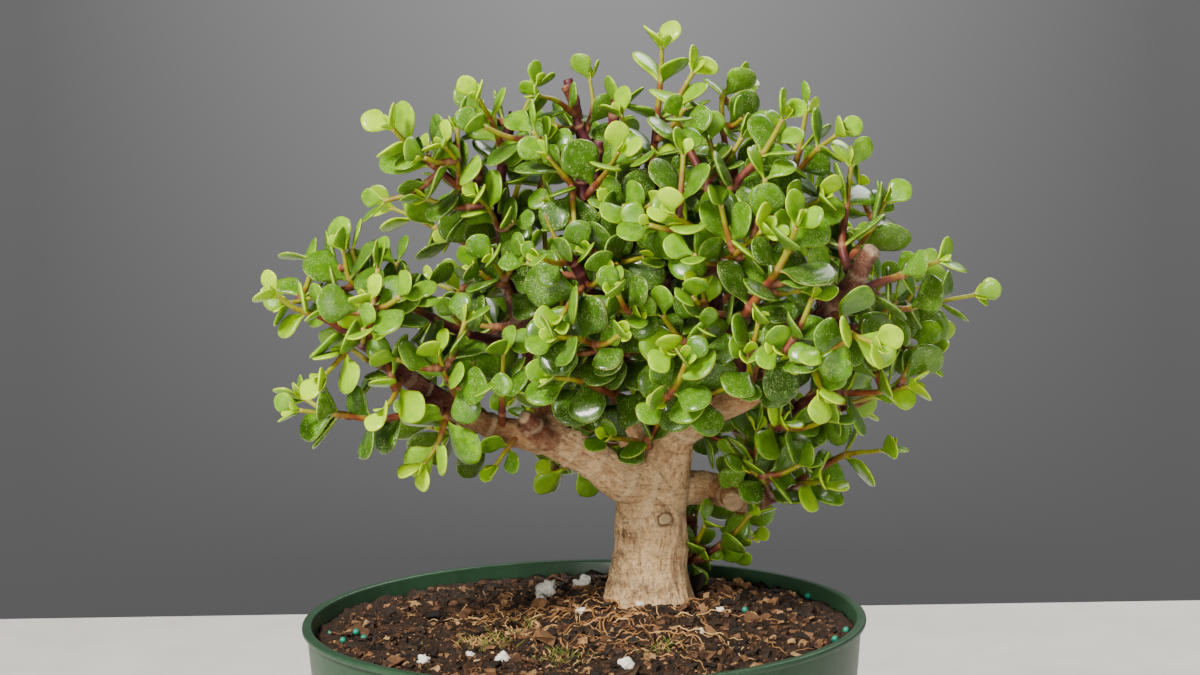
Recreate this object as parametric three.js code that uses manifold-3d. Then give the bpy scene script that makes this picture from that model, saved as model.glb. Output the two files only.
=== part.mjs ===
// A dwarf jade grown as a small tree, in the green plastic nursery pot that it was raised in.
// Millimetres, +Z up. The origin is the middle of the pot's base, on the surface it stands on.
// The photograph looks along +Y, with +X to its right.
import * as THREE from 'three';
import { mergeVertices } from 'three/addons/utils/BufferGeometryUtils.js';
import Module from 'manifold-3d';

// Pot: an eight-inch nursery pot, measured to the outside of its rolled lip.
const RIM_RADIUS = 101.5;
const POT_HEIGHT = 140;
const LIP_DEPTH = 2.2;
const LIP_OVERHANG = 1.5;
const LIP_EDGE = 0.6;
const WALL = 2;
const WALL_LEAN = THREE.MathUtils.degToRad(5.5);
const POT_FLOOR = 2.5;
const BASE_EDGE = 1;
const DRAIN_HOLES = 6;
const DRAIN_RADIUS = 4.5;
const DRAIN_CIRCLE = 68;
const POT_SIDES = 36; // the soil has the same, so that it fits the wall all round
const DRAIN_SIDES = 8;

// Soil: filled to a little under the lip and heaped up to the trunk.
const SOIL_BELOW_LIP = 5.5;
const SOIL_HEAP = 7.5;
const SOIL_HEAP_REACH = 78;
const SOIL_LUMP = 0.7;
const SOIL_WAVE_X = { length: 7.3, shift: 1.1 };
const SOIL_WAVE_Y = { length: 6.1, shift: 0.4 };
const SOIL_RINGS = [1, 0.86, 0.68, 0.48, 0.26];

// Clearance between two solids that touch on the real plant.
const SEAT = 0.3;
const SHORTEST_EDGE = 0.02; // a shorter one left by a cut is closed up
const WELD = 1e-4; // vertices closer than this are one

// Wood: how finely the trunk, the limbs and the bare stretch of a stem are faceted.
const TRUNK_SIDES = 10;
const LIMB_SIDES = 6;
const LIMB_STEP = 13;
const BARE_STEP = 14;
const SLOPE_STEP = 0.01; // share of a stem, to either side, over which its direction is taken

// Leaves: fleshy ovals, broadest past the middle, in crossed pairs along four-sided stems.
const LEAF_WIDTH = 0.85; // of its length
const LEAF_THICKNESS = 0.15; // of its length
const LEAF_ROOM = 0.35; // kept free round each leaf
const SMALL_LEAF = 17; // a leaf shorter than this has the plainer rim
const NODE_BAND = 1.6; // height of the stem face that a leaf grows from
const PAIR_SPACING = 13.3;
const PAIR_SPREAD = 62; // degrees between a leaf and its stem
const TIP_SPREAD = [30, 46]; // the last pair and the one before it
const TIP_SHARE = [0.62, 0.86]; // their length, of a full leaf
const FACE_UP = 0.5; // how strongly a blade turns its face up to the light
const FACE_OUT = 1; // how strongly it turns away from the middle of the crown
const CROWN_MIDDLE = [24, 20]; // seen from above
const CROWN_CORE = 50; // distance from there at which blades face fully out
const THICKEST = 0.55; // share of the length from the stem

// From the least to the most that a draw gives one leaf.
const SPREAD_RANGE = [-8, 8]; // degrees
const LENGTH_RANGE = [0.88, 1.12];
const BROAD_RANGE = [0.92, 1.08];
const CUP_RANGE = [-0.02, 0.1]; // rise of the rim over the midrib, of the length
const DROOP_RANGE = [0, 0.12]; // fall of the tip, of the length
const ROLL_RANGE = [-0.25, 0.25]; // radians

// Right half of a leaf's rim: share of the length from the stem, share of the half width.
const FULL_RIM = [[0.3, 0.56], [0.6, 1], [0.87, 0.74]];
const PLAIN_RIM = [[0.42, 0.86], [0.82, 0.84]];

// The ways a leaf may give way to what grows beside it, tried in this order.
const SHRINKS = [1, 0.84, 0.7];
const OPENINGS = [0, -16, 16, -30]; // degrees from the stem
const SWINGS = [0, 14, -14, 28, -28]; // degrees round the stem

const COLOUR = {
  pot: { color: 0x2f5440, roughness: 0.42 },
  soil: { color: 0x4a382c, roughness: 0.95 },
  bark: { color: 0x8b7662, roughness: 0.85 },
  leaf: { color: 0x6f9a34, roughness: 0.38 },
};

// Each limb is a list of points along its middle: x, y, z and the radius there.
const LIMBS = {
  trunk: [
    [24, 20, 103, 9.0], [24, 20, 126, 14.4], [24, 20, 140, 15.2], [24, 21, 152, 13.8],
    [25, 22, 163, 13.3], [25, 22, 174, 13.0], [27, 22, 183, 12.2], [30, 20, 194, 10.6],
    [32, 18, 203, 9.8], [37, 12, 210, 9.0],
  ],
  right_limb: [
    [34, 16, 205, 8.5], [44, 4, 214, 7.2], [56, -8, 220, 6.0], [67, -20, 230, 5.4],
    [76, -30, 241, 5.0], [86, -37, 252, 4.6], [93, -41, 262, 4.0], [97, -44, 270, 3.2],
    [100, -46, 275, 3.0],
  ],
  leader: [
    [30, 22, 193, 7.5], [25, 32, 204, 5.0], [26, 34, 221, 4.2], [28, 31, 240, 3.8],
    [30, 27, 255, 3.6], [28, 23, 274, 3.2], [26, 19, 289, 2.6], [26, 16, 299, 2.2],
  ],
  front_limb: [
    [39, 10, 212, 6.5], [44, -4, 224, 4.4], [47, -16, 238, 3.6], [47, -26, 257, 3.2],
    [47, -31, 275, 3.0], [49, -34, 290, 2.7],
  ],
  left_limb: [
    [26, 21, 183, 8.2], [14, 10, 188, 8.0], [4, 4, 196, 7.0], [-8, 0, 203, 6.4],
    [-16, -4, 206, 5.6], [-29, -9, 210, 4.6], [-42, -15, 217, 4.2], [-53, -21, 225, 3.8],
    [-62, -27, 233, 3.4], [-70, -32, 240, 3.0],
  ],
  left_riser: [
    [-9, 0, 204, 5.2], [-13, 9, 214, 4.2], [-15, 15, 226, 4.0], [-20, 19, 240, 3.4],
    [-24, 21, 253, 3.1], [-26, 21, 267, 2.8], [-28, 19, 280, 2.5], [-28, 17, 291, 2.3],
  ],
  low_limb: [
    [30, 23, 182, 7.2], [45, 34, 180, 6.2], [54, 40, 177, 5.4], [61, 44, 173, 4.4],
    [69, 46, 173, 3.8],
  ],
  right_riser: [
    [44, 2, 218, 4.6], [51, 0, 238, 3.9], [60, -6, 259, 3.5], [66, -10, 275, 3.1],
  ],
  rear_left: [
    [26, 26, 188, 6.0], [14, 52, 203, 4.6], [-1, 74, 220, 3.8], [-14, 89, 232, 3.0],
  ],
  rear_right: [
    [32, 22, 196, 6.0], [50, 54, 210, 4.6], [70, 78, 226, 3.8], [89, 93, 236, 3.0],
  ],
};

// Each spray is a list of stems grown together. A stem has points along its middle, its thickness
// at the root and at the tip as the radius to its corners, the length of a full leaf, with 0 for
// none, and the share of it that is bare from the root.
const SPRAYS = {
  apex: [
    {
      path: [[26, 17, 292], [28, 14, 310], [30, 12, 328], [31, 10, 343]],
      root: 1.9, tip: 0.9, leaf: 17, bare: 0.22,
    },
    { path: [[27, 15, 301], [20, 4, 308], [16, 0, 320]], root: 1.3, tip: 0.8, leaf: 15, bare: 0.3 },
  ],
  front_top: [
    {
      path: [[49, -34, 288], [43, -30, 301], [37, -24, 314], [35, -18, 324], [41, -14, 335]],
      root: 2.0, tip: 0.9, leaf: 17, bare: 0.2,
    },
    {
      path: [[48, -34, 289], [56, -41, 300], [64, -44, 309], [70, -47, 320]],
      root: 1.9, tip: 0.9, leaf: 17, bare: 0.25,
    },
  ],
  brown_top: [
    {
      path: [[48, -33, 284], [55, -16, 298], [52, -6, 312], [52, 0, 326], [57, 2, 330]],
      root: 1.7, tip: 0.8, leaf: 15, bare: 0.3,
    },
  ],
  back_twig: [
    {
      path: [[28, 23, 275], [13, 24, 295], [2, 24, 313], [-1, 22, 323], [-4, 20, 330]],
      root: 2.5, tip: 1.5, leaf: 0, bare: 1,
    },
    { path: [[3, 24, 312], [6, 32, 322], [5, 36, 332]], root: 1.3, tip: 0.8, leaf: 15, bare: 0.2 },
    { path: [[0, 23, 319], [-7, 14, 325], [-13, 8, 327]], root: 1.3, tip: 0.8, leaf: 14, bare: 0.2 },
  ],
  upper_left_top: [
    {
      path: [[-28, 18, 288], [-28, 17, 295], [-26, 14, 306], [-24, 12, 316], [-22, 11, 321]],
      root: 2.3, tip: 2.3, leaf: 0, bare: 1,
    },
    { path: [[-26, 14, 305], [-29, 3, 316], [-34, -5, 327]], root: 1.5, tip: 0.8, leaf: 16, bare: 0.25 },
    { path: [[-26, 14, 303], [-18, 2, 310], [-11, -6, 313]], root: 1.3, tip: 0.8, leaf: 15, bare: 0.3 },
    { path: [[-25, 12, 313], [-19, 20, 321], [-15, 24, 330]], root: 1.4, tip: 0.8, leaf: 16, bare: 0.25 },
  ],
  upper_left_far: [
    {
      path: [[-28, 19, 281], [-40, 6, 293], [-50, -2, 303], [-58, -8, 310], [-64, -12, 317]],
      root: 2.2, tip: 0.9, leaf: 17, bare: 0.3,
    },
    { path: [[-42, 4, 295], [-42, -6, 304], [-46, -14, 311]], root: 1.3, tip: 0.8, leaf: 15, bare: 0.3 },
  ],
  rear_left_up: [
    {
      path: [[-26, 21, 269], [-42, 42, 272], [-56, 54, 278], [-70, 60, 284]],
      root: 1.9, tip: 0.9, leaf: 17, bare: 0.25,
    },
  ],
  riser_front_high: [
    { path: [[-28, 19, 276], [-30, 2, 285], [-35, -10, 293]], root: 1.4, tip: 0.8, leaf: 16, bare: 0.3 },
  ],
  riser_front_low: [
    { path: [[-24, 21, 251], [-26, 2, 261], [-30, -10, 270]], root: 1.5, tip: 0.8, leaf: 17, bare: 0.25 },
  ],
  riser_right: [
    { path: [[-27, 20, 273], [-20, 26, 284], [-12, 28, 294]], root: 1.4, tip: 0.8, leaf: 17, bare: 0.3 },
  ],
  left_main: [
    {
      path: [
        [-20, 18, 237], [-35, 4, 241], [-47, -6, 247], [-58, -14, 254], [-71, -20, 259],
        [-79, -24, 265], [-81, -26, 276],
      ],
      root: 2.5, tip: 0.9, leaf: 18, bare: 0.25,
    },
    {
      path: [[-78, -24, 263], [-88, -32, 261], [-99, -36, 259]],
      root: 1.4, tip: 0.8, leaf: 16, bare: 0.25,
    },
  ],
  left_tip: [
    {
      path: [[-68, -31, 238], [-78, -36, 247], [-87, -40, 254], [-96, -45, 258], [-102, -49, 263]],
      root: 2.2, tip: 0.8, leaf: 16, bare: 0.3,
    },
    { path: [[-73, -34, 243], [-71, -42, 253], [-71, -48, 260]], root: 1.6, tip: 0.8, leaf: 16, bare: 0.3 },
    { path: [[-77, -36, 246], [-82, -46, 240], [-86, -52, 236]], root: 1.3, tip: 0.8, leaf: 16, bare: 0.3 },
  ],
  left_under: [
    { path: [[-62, -28, 232], [-63, -44, 228], [-66, -52, 224]], root: 1.5, tip: 0.8, leaf: 16, bare: 0.3 },
  ],
  low_left_twig: [
    {
      path: [[-52, -22, 224], [-59, -34, 220], [-70, -42, 219], [-83, -48, 222], [-95, -52, 224]],
      root: 1.9, tip: 0.8, leaf: 15, bare: 0.3,
    },
  ],
  left_hang: [
    {
      path: [[-47, -17, 220], [-47, -32, 216], [-50, -36, 208], [-54, -40, 203]],
      root: 1.5, tip: 0.8, leaf: 16, bare: 0.3,
    },
  ],
  left_mid_up: [
    { path: [[-40, -14, 216], [-45, -34, 230], [-48, -42, 241]], root: 1.5, tip: 0.8, leaf: 16, bare: 0.58 },
  ],
  left_mid_high: [
    {
      path: [[-28, -10, 210], [-27, -26, 226], [-26, -34, 240]],
      root: 1.6, tip: 0.8, leaf: 16, bare: 0.58,
    },
  ],
  left_drop: [
    { path: [[-22, -8, 208], [-26, -17, 204], [-30, -22, 199]], root: 1.3, tip: 0.8, leaf: 12, bare: 0.45 },
  ],
  left_behind: [
    { path: [[3, 6, 197], [-5, 28, 190], [-11, 42, 185]], root: 1.6, tip: 0.8, leaf: 17, bare: 0.3 },
  ],
  high_stub: [
    {
      path: [[29, 30, 237], [15, 8, 255], [4, -6, 275], [2, -11, 290], [2, -13, 301], [2, -14, 311]],
      root: 3.0, tip: 2.3, leaf: 0, bare: 1,
    },
    { path: [[2, -11, 292], [-4, -18, 300], [-10, -22, 307]], root: 1.5, tip: 0.8, leaf: 16, bare: 0.25 },
    { path: [[2, -11, 291], [10, -24, 301], [15, -32, 309]], root: 1.5, tip: 0.8, leaf: 16, bare: 0.25 },
    { path: [[5, -5, 273], [13, -24, 270], [23, -36, 273]], root: 1.6, tip: 0.8, leaf: 18, bare: 0.2 },
  ],
  mid_trio: [
    {
      path: [[28, 24, 270], [22, 0, 276], [16, -20, 285], [12, -28, 291]],
      root: 1.7, tip: 0.8, leaf: 17, bare: 0.3,
    },
  ],
  middle_stub: [
    {
      path: [[27, 33, 225], [15, 2, 243], [5, -20, 258], [-1, -29, 270], [-5, -33, 276]],
      root: 2.9, tip: 2.1, leaf: 0, bare: 1,
    },
    { path: [[-2, -30, 271], [-8, -42, 272], [-13, -50, 275]], root: 1.4, tip: 0.8, leaf: 13, bare: 0.25 },
    { path: [[3, -25, 263], [-2, -42, 259], [-6, -50, 254]], root: 1.5, tip: 0.8, leaf: 17, bare: 0.25 },
    { path: [[8, -14, 255], [13, -36, 255], [19, -48, 255]], root: 1.5, tip: 0.8, leaf: 17, bare: 0.25 },
  ],
  centre_long: [
    {
      path: [[26, 33, 215], [20, 4, 229], [11, -26, 238], [1, -46, 246], [-8, -56, 248]],
      root: 2.1, tip: 0.9, leaf: 18, bare: 0.25,
    },
  ],
  centre_low: [
    {
      path: [[26, 32, 209], [18, 6, 217], [8, -20, 225], [-1, -38, 231], [-9, -46, 233]],
      root: 2.1, tip: 0.9, leaf: 17, bare: 0.25,
    },
  ],
  centre_under: [
    { path: [[29, 20, 196], [20, 2, 203], [10, -14, 207]], root: 1.7, tip: 0.9, leaf: 16, bare: 0.3 },
  ],
  trunk_front: [
    { path: [[44, -4, 223], [37, -30, 226], [28, -44, 224]], root: 1.8, tip: 0.9, leaf: 18, bare: 0.25 },
  ],
  front_mid: [
    { path: [[47, -16, 237], [40, -38, 241], [32, -50, 242]], root: 1.6, tip: 0.9, leaf: 18, bare: 0.25 },
  ],
  front_left_up: [
    { path: [[47, -31, 275], [40, -46, 283], [32, -54, 289]], root: 1.6, tip: 0.9, leaf: 17, bare: 0.25 },
  ],
  front_right: [
    { path: [[47, -30, 268], [54, -48, 275], [62, -58, 283]], root: 1.6, tip: 0.9, leaf: 17, bare: 0.25 },
  ],
  foreground: [
    {
      path: [[56, -8, 219], [56, -36, 242], [57, -48, 254], [64, -56, 265], [69, -62, 274], [73, -66, 285]],
      root: 2.7, tip: 1.1, leaf: 18, bare: 0.45,
    },
  ],
  front_small: [
    { path: [[47, -23, 250], [44, -42, 255], [42, -50, 263]], root: 1.3, tip: 0.8, leaf: 13, bare: 0.25 },
  ],
  front_low: [
    { path: [[61, -14, 225], [59, -38, 232], [57, -52, 240]], root: 1.6, tip: 0.9, leaf: 17, bare: 0.25 },
  ],
  mid_right_hang: [
    { path: [[76, -29, 240], [73, -52, 240], [67, -62, 243]], root: 1.6, tip: 0.9, leaf: 17, bare: 0.25 },
    { path: [[74, -44, 240], [79, -56, 236], [81, -62, 230]], root: 1.4, tip: 0.8, leaf: 17, bare: 0.25 },
  ],
  right_up: [
    {
      path: [[94, -42, 264], [91, -34, 275], [93, -28, 289], [95, -24, 302]],
      root: 2.1, tip: 0.9, leaf: 18, bare: 0.35,
    },
    { path: [[92, -37, 270], [101, -26, 279], [107, -20, 289]], root: 1.5, tip: 0.8, leaf: 17, bare: 0.25 },
  ],
  right_far: [
    {
      path: [[90, -40, 258], [101, -34, 262], [113, -30, 265], [125, -26, 269]],
      root: 2.2, tip: 0.9, leaf: 16, bare: 0.25,
    },
    {
      path: [[99, -35, 261], [111, -20, 252], [123, -14, 253], [140, -8, 255]],
      root: 1.6, tip: 0.8, leaf: 15, bare: 0.25,
    },
  ],
  right_rear: [
    {
      path: [[84, -36, 250], [100, 4, 242], [115, 24, 237], [128, 34, 236]],
      root: 1.9, tip: 0.9, leaf: 17, bare: 0.3,
    },
  ],
  right_front_low: [
    { path: [[87, -38, 254], [90, -58, 249], [98, -68, 246]], root: 1.7, tip: 0.9, leaf: 17, bare: 0.25 },
  ],
  riser_top: [
    {
      path: [[65, -10, 272], [69, -10, 284], [73, -10, 293], [78, -2, 304], [82, 8, 320]],
      root: 2.8, tip: 0.9, leaf: 16, bare: 0.4,
    },
    { path: [[73, -10, 293], [82, -18, 306], [90, -24, 313]], root: 1.5, tip: 0.8, leaf: 16, bare: 0.25 },
    { path: [[68, -10, 281], [76, -28, 287], [83, -38, 292]], root: 1.6, tip: 0.8, leaf: 17, bare: 0.25 },
    { path: [[68, -9, 279], [77, 6, 273], [88, 22, 269]], root: 1.5, tip: 0.8, leaf: 17, bare: 0.3 },
  ],
  riser_low: [
    { path: [[57, -4, 252], [52, 20, 256], [45, 32, 261]], root: 1.7, tip: 0.9, leaf: 17, bare: 0.25 },
  ],
  leader_right: [
    { path: [[29, 27, 253], [38, 38, 264], [47, 46, 274]], root: 1.7, tip: 0.9, leaf: 17, bare: 0.25 },
  ],
  leader_left: [
    { path: [[28, 30, 246], [17, 44, 256], [9, 54, 263]], root: 1.7, tip: 0.9, leaf: 17, bare: 0.25 },
  ],
  shelf: [
    {
      path: [[52, 40, 179], [61, 46, 187], [69, 46, 195], [75, 40, 204], [83, 32, 212], [95, 22, 216]],
      root: 3.4, tip: 1.8, leaf: 0, bare: 1,
    },
    { path: [[93, 23, 216], [107, 12, 218], [118, 4, 221]], root: 1.6, tip: 0.8, leaf: 16, bare: 0.15 },
    { path: [[84, 31, 212], [95, 46, 207], [105, 56, 206]], root: 1.5, tip: 0.8, leaf: 16, bare: 0.25 },
    { path: [[70, 45, 197], [69, 20, 204], [72, 4, 209]], root: 1.5, tip: 0.8, leaf: 17, bare: 0.25 },
  ],
  low_end: [
    {
      path: [[67, 46, 173], [72, 46, 174], [82, 45, 180], [97, 40, 190], [111, 28, 194]],
      root: 3.1, tip: 0.8, leaf: 17, bare: 0.55,
    },
    { path: [[71, 45, 174], [67, 20, 184], [61, 8, 191]], root: 1.6, tip: 0.8, leaf: 17, bare: 0.25 },
    { path: [[79, 45, 178], [82, 24, 183], [87, 8, 186]], root: 1.5, tip: 0.8, leaf: 16, bare: 0.25 },
  ],
  trunk_low: [
    {
      path: [[30, 24, 155], [43, 46, 150], [53, 60, 150], [65, 72, 153]],
      root: 1.8, tip: 0.8, leaf: 11, bare: 0.25,
    },
    { path: [[41, 42, 150], [42, 51, 158], [43, 57, 167]], root: 1.2, tip: 0.7, leaf: 11, bare: 0.3 },
    { path: [[51, 57, 150], [57, 56, 159], [62, 55, 167]], root: 1.2, tip: 0.7, leaf: 11, bare: 0.3 },
    { path: [[38, 38, 151], [47, 36, 155], [56, 37, 159]], root: 1.2, tip: 0.7, leaf: 11, bare: 0.3 },
  ],
  rear_left_end: [
    {
      path: [[-12, 87, 231], [-29, 99, 240], [-44, 106, 245], [-57, 110, 250]],
      root: 2.6, tip: 0.9, leaf: 17, bare: 0.3,
    },
    { path: [[-20, 93, 235], [-19, 100, 248], [-20, 104, 263]], root: 1.7, tip: 0.9, leaf: 17, bare: 0.2 },
  ],
  rear_left_low: [
    { path: [[-8, 82, 225], [-17, 98, 213], [-27, 106, 205]], root: 1.7, tip: 0.9, leaf: 17, bare: 0.2 },
  ],
  rear_left_back: [
    { path: [[2, 72, 217], [1, 104, 219], [-1, 124, 226]], root: 1.7, tip: 0.9, leaf: 17, bare: 0.25 },
  ],
  rear_left_under: [
    { path: [[15, 50, 202], [7, 80, 190], [-3, 98, 183]], root: 1.7, tip: 0.9, leaf: 17, bare: 0.3 },
  ],
  rear_right_end: [
    {
      path: [[85, 91, 234], [105, 102, 242], [120, 106, 248], [133, 108, 253]],
      root: 2.6, tip: 0.9, leaf: 17, bare: 0.3,
    },
    { path: [[94, 96, 238], [93, 104, 254], [95, 106, 269]], root: 1.7, tip: 0.9, leaf: 17, bare: 0.2 },
  ],
  rear_right_low: [
    { path: [[81, 87, 231], [92, 104, 217], [103, 110, 208]], root: 1.7, tip: 0.9, leaf: 17, bare: 0.25 },
  ],
  rear_right_back: [
    { path: [[64, 72, 221], [63, 106, 223], [63, 126, 232]], root: 1.7, tip: 0.9, leaf: 17, bare: 0.25 },
  ],
  rear_right_under: [
    { path: [[50, 54, 209], [59, 84, 193], [67, 104, 184]], root: 1.7, tip: 0.9, leaf: 17, bare: 0.3 },
  ],
  rear_mid: [
    {
      path: [[27, 27, 196], [25, 60, 219], [27, 76, 246], [31, 88, 262]],
      root: 3.0, tip: 1.8, leaf: 0, bare: 1,
    },
    { path: [[30, 86, 260], [34, 94, 277], [38, 96, 293]], root: 1.7, tip: 0.9, leaf: 17, bare: 0.2 },
    { path: [[27, 73, 242], [16, 92, 255], [8, 100, 270]], root: 1.7, tip: 0.9, leaf: 17, bare: 0.25 },
    { path: [[27, 71, 240], [43, 92, 251], [55, 104, 264]], root: 1.7, tip: 0.9, leaf: 17, bare: 0.25 },
    { path: [[26, 61, 232], [28, 100, 236], [30, 124, 244]], root: 1.6, tip: 0.9, leaf: 17, bare: 0.3 },
  ],
  rear_top: [
    {
      path: [[27, 20, 283], [27, 36, 289], [22, 50, 297], [17, 60, 308]],
      root: 1.9, tip: 0.8, leaf: 16, bare: 0.35,
    },
    { path: [[27, 34, 288], [38, 52, 293], [47, 64, 304]], root: 1.5, tip: 0.8, leaf: 16, bare: 0.25 },
  ],
  riser_back: [
    {
      path: [[-22, 20, 245], [-32, 50, 238], [-43, 72, 231], [-55, 84, 232]],
      root: 1.8, tip: 0.9, leaf: 17, bare: 0.3,
    },
  ],
  left_back: [
    {
      path: [[-37, -12, 215], [-44, 24, 204], [-53, 48, 201], [-65, 60, 203]],
      root: 1.8, tip: 0.9, leaf: 17, bare: 0.3,
    },
  ],
};

const UP = new THREE.Vector3(0, 0, 1);
const QUARTER = Math.PI / 2;
const wasm = await Module();
wasm.setup();

// A closed geometry as a solid that can be joined and cut.
function solidOf(geometry) {
  const bare = new THREE.BufferGeometry();
  const plain = geometry.index ? geometry.toNonIndexed() : geometry;
  bare.setAttribute('position', plain.getAttribute('position'));
  const merged = mergeVertices(bare, WELD);
  return new wasm.Manifold(new wasm.Mesh({
    numProp: 3,
    vertProperties: new Float32Array(merged.getAttribute('position').array),
    triVerts: new Uint32Array(merged.index.array),
  }));
}

function solidFrom(points, faces) {
  return solidOf(new THREE.BufferGeometry().setFromPoints(points).setIndex(faces));
}

// A solid back as a geometry.
function geometryOf(solid) {
  const mesh = solid.getMesh();
  const geometry = new THREE.BufferGeometry();
  geometry.setAttribute('position', new THREE.BufferAttribute(mesh.vertProperties, 3));
  geometry.setIndex(new THREE.BufferAttribute(mesh.triVerts, 1));
  geometry.computeVertexNormals();
  return geometry;
}

function joined(solids) {
  return solids.reduce((whole, next) => whole.add(next));
}

// The biggest body of a solid, without the scraps that a cut left, its shortest edges closed up.
function largest(solid) {
  const bodies = solid.decompose().sort((a, b) => b.volume() - a.volume());
  return bodies[0].simplify(SHORTEST_EDGE);
}

function meshOf(name, solid, look) {
  const mesh = new THREE.Mesh(geometryOf(solid), new THREE.MeshStandardMaterial(look));
  mesh.name = name;
  return mesh;
}

// The same stream of draws for the same seed, each between the two ends that it is asked for.
function drawFrom(seed) {
  let state = seed;
  return ([least, most]) => {
    state = (state * 1664525 + 1013904223) % 2 ** 32;
    return THREE.MathUtils.lerp(least, most, state / 2 ** 32);
  };
}

function smoothCurve(points) {
  const places = points.map(([x, y, z]) => new THREE.Vector3(x, y, z));
  return new THREE.CatmullRomCurve3(places, false, 'catmullrom', 0.5);
}

// One limb with its ends closed, as thick as its points say, and room mm thicker all round.
function limbSolid(points, sides, room) {
  const curve = smoothCurve(points);
  const steps = Math.max(2, Math.round(curve.getLength() / LIMB_STEP));
  const corners = Array.from({ length: sides }, (_, i) => {
    const angle = (2 * Math.PI * i) / sides;
    return new THREE.Vector2(Math.cos(angle), Math.sin(angle));
  });
  const tube = new THREE.ExtrudeGeometry(new THREE.Shape(corners), {
    steps, bevelEnabled: false, extrudePath: curve,
  });
  const middles = curve.getSpacedPoints(steps);
  const radii = middles.map((_, i) => {
    const place = curve.getUtoTmapping(i / steps) * (points.length - 1);
    const before = Math.min(Math.floor(place), points.length - 2);
    const radius = THREE.MathUtils.lerp(points[before][3], points[before + 1][3], place - before);
    return radius + room;
  });
  const positions = tube.getAttribute('position');
  const vertex = new THREE.Vector3();
  for (let i = 0; i < positions.count; i += 1) {
    vertex.fromBufferAttribute(positions, i);
    const gaps = middles.map((middle) => vertex.distanceTo(middle));
    const nearest = gaps.indexOf(Math.min(...gaps));
    vertex.sub(middles[nearest]).multiplyScalar(radii[nearest]).add(middles[nearest]);
    positions.setXYZ(i, vertex.x, vertex.y, vertex.z);
  }
  return solidOf(tube);
}

// Trunk and limbs are one piece of wood.
function woodSolid(room) {
  const limbs = Object.entries(LIMBS).map(([name, points]) => (
    limbSolid(points, name === 'trunk' ? TRUNK_SIDES : LIMB_SIDES, room)));
  return joined(limbs).simplify(SHORTEST_EDGE);
}

// A stem's own directions: along it, and the two that its four sides face.
function stemFrame(stem) {
  const curve = smoothCurve(stem.path);
  const chord = curve.getPoint(1).sub(curve.getPoint(0));
  const lean = [chord.x, chord.y, chord.z].map(Math.abs);
  const reference = new THREE.Vector3().setComponent(lean.indexOf(Math.min(...lean)), 1);
  return (share) => {
    const before = curve.getPoint(Math.max(share - SLOPE_STEP, 0));
    const along = curve.getPoint(Math.min(share + SLOPE_STEP, 1)).sub(before).normalize();
    const across = new THREE.Vector3().crossVectors(along, reference).normalize();
    return {
      middle: curve.getPoint(share),
      along,
      facing: (angle) => across.clone().applyAxisAngle(along, angle),
      radius: THREE.MathUtils.lerp(stem.root, stem.tip, share),
      length: curve.getLength(),
    };
  };
}

// Where the leaves of a stem grow, pair by pair, each with the draws that shape it.
function leafSlots(stem, seed) {
  if (!stem.leaf) return [];
  const draw = drawFrom(seed);
  const frame = stemFrame(stem);
  const free = frame(0).length * (1 - stem.bare);
  const pairs = Math.max(2, Math.round(free / PAIR_SPACING) + 1);
  const turn = draw([0, Math.PI]);
  const slots = [];
  for (let pair = 0; pair < pairs; pair += 1) {
    const fromTip = pairs - 1 - pair;
    const share = stem.bare + ((1 - stem.bare) * pair) / (pairs - 1);
    for (const side of [0, 2]) {
      slots.push({
        pair,
        share,
        side: side + (pair % 2),
        turn,
        spread: (TIP_SPREAD[fromTip] ?? PAIR_SPREAD) + draw(SPREAD_RANGE),
        length: stem.leaf * (TIP_SHARE[fromTip] ?? 1) * draw(LENGTH_RANGE),
        broad: draw(BROAD_RANGE),
        cup: draw(CUP_RANGE),
        droop: draw(DROOP_RANGE),
        roll: draw(ROLL_RANGE),
      });
    }
  }
  return slots;
}

// The corners of a stem's square section, low or high on the band that a pair grows from.
function ring(frame, turn, lift) {
  return [0, 1, 2, 3].map((corner) => frame.middle.clone()
    .addScaledVector(frame.along, lift)
    .addScaledVector(frame.facing(turn + (corner - 0.5) * QUARTER), frame.radius));
}

// The four corners that a leaf grows from, round from low left, seen from outside.
function neckOf(lower, upper, side) {
  const next = (side + 1) % 4;
  return [lower[side], lower[next], upper[next], upper[side]];
}

function bandAt(frame, turn, share) {
  const high = share === 1 ? 0 : NODE_BAND / 2;
  return [ring(frame, turn, high - NODE_BAND), ring(frame, turn, high)];
}

// Level direction away from the middle of the crown, weaker near it.
function outwardAt(place) {
  const outward = new THREE.Vector3(place.x - CROWN_MIDDLE[0], place.y - CROWN_MIDDLE[1], 0);
  return outward.divideScalar(Math.max(outward.length(), CROWN_CORE));
}

// One way that a slot's leaf may grow: shorter, opened from the stem or swung round it.
function leafPose(slot, frame, shrink, opened, swung) {
  const spread = THREE.MathUtils.degToRad(slot.spread + opened);
  const facing = frame.facing(slot.turn + slot.side * QUARTER);
  const out = frame.facing(slot.turn + slot.side * QUARTER + THREE.MathUtils.degToRad(swung));
  const direction = frame.along.clone().multiplyScalar(Math.cos(spread))
    .addScaledVector(out, Math.sin(spread)).normalize();
  const face = frame.along.clone().addScaledVector(UP, FACE_UP)
    .addScaledVector(outwardAt(frame.middle), FACE_OUT);
  face.addScaledVector(direction, -face.dot(direction)).normalize();
  face.applyAxisAngle(direction, slot.roll);
  return {
    ...slot,
    neck: neckOf(...bandAt(frame, slot.turn, slot.share), slot.side),
    root: frame.middle.clone().addScaledVector(facing, frame.radius * Math.SQRT1_2),
    direction,
    face,
    across: face.clone().cross(direction),
    length: slot.length * shrink,
  };
}

function leafPoses(slot, frame) {
  const poses = [];
  for (const shrink of SHRINKS) {
    for (const opened of OPENINGS) {
      for (const swung of SWINGS) {
        poses.push(leafPose(slot, frame, shrink, opened, swung));
      }
    }
  }
  return poses;
}

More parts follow.
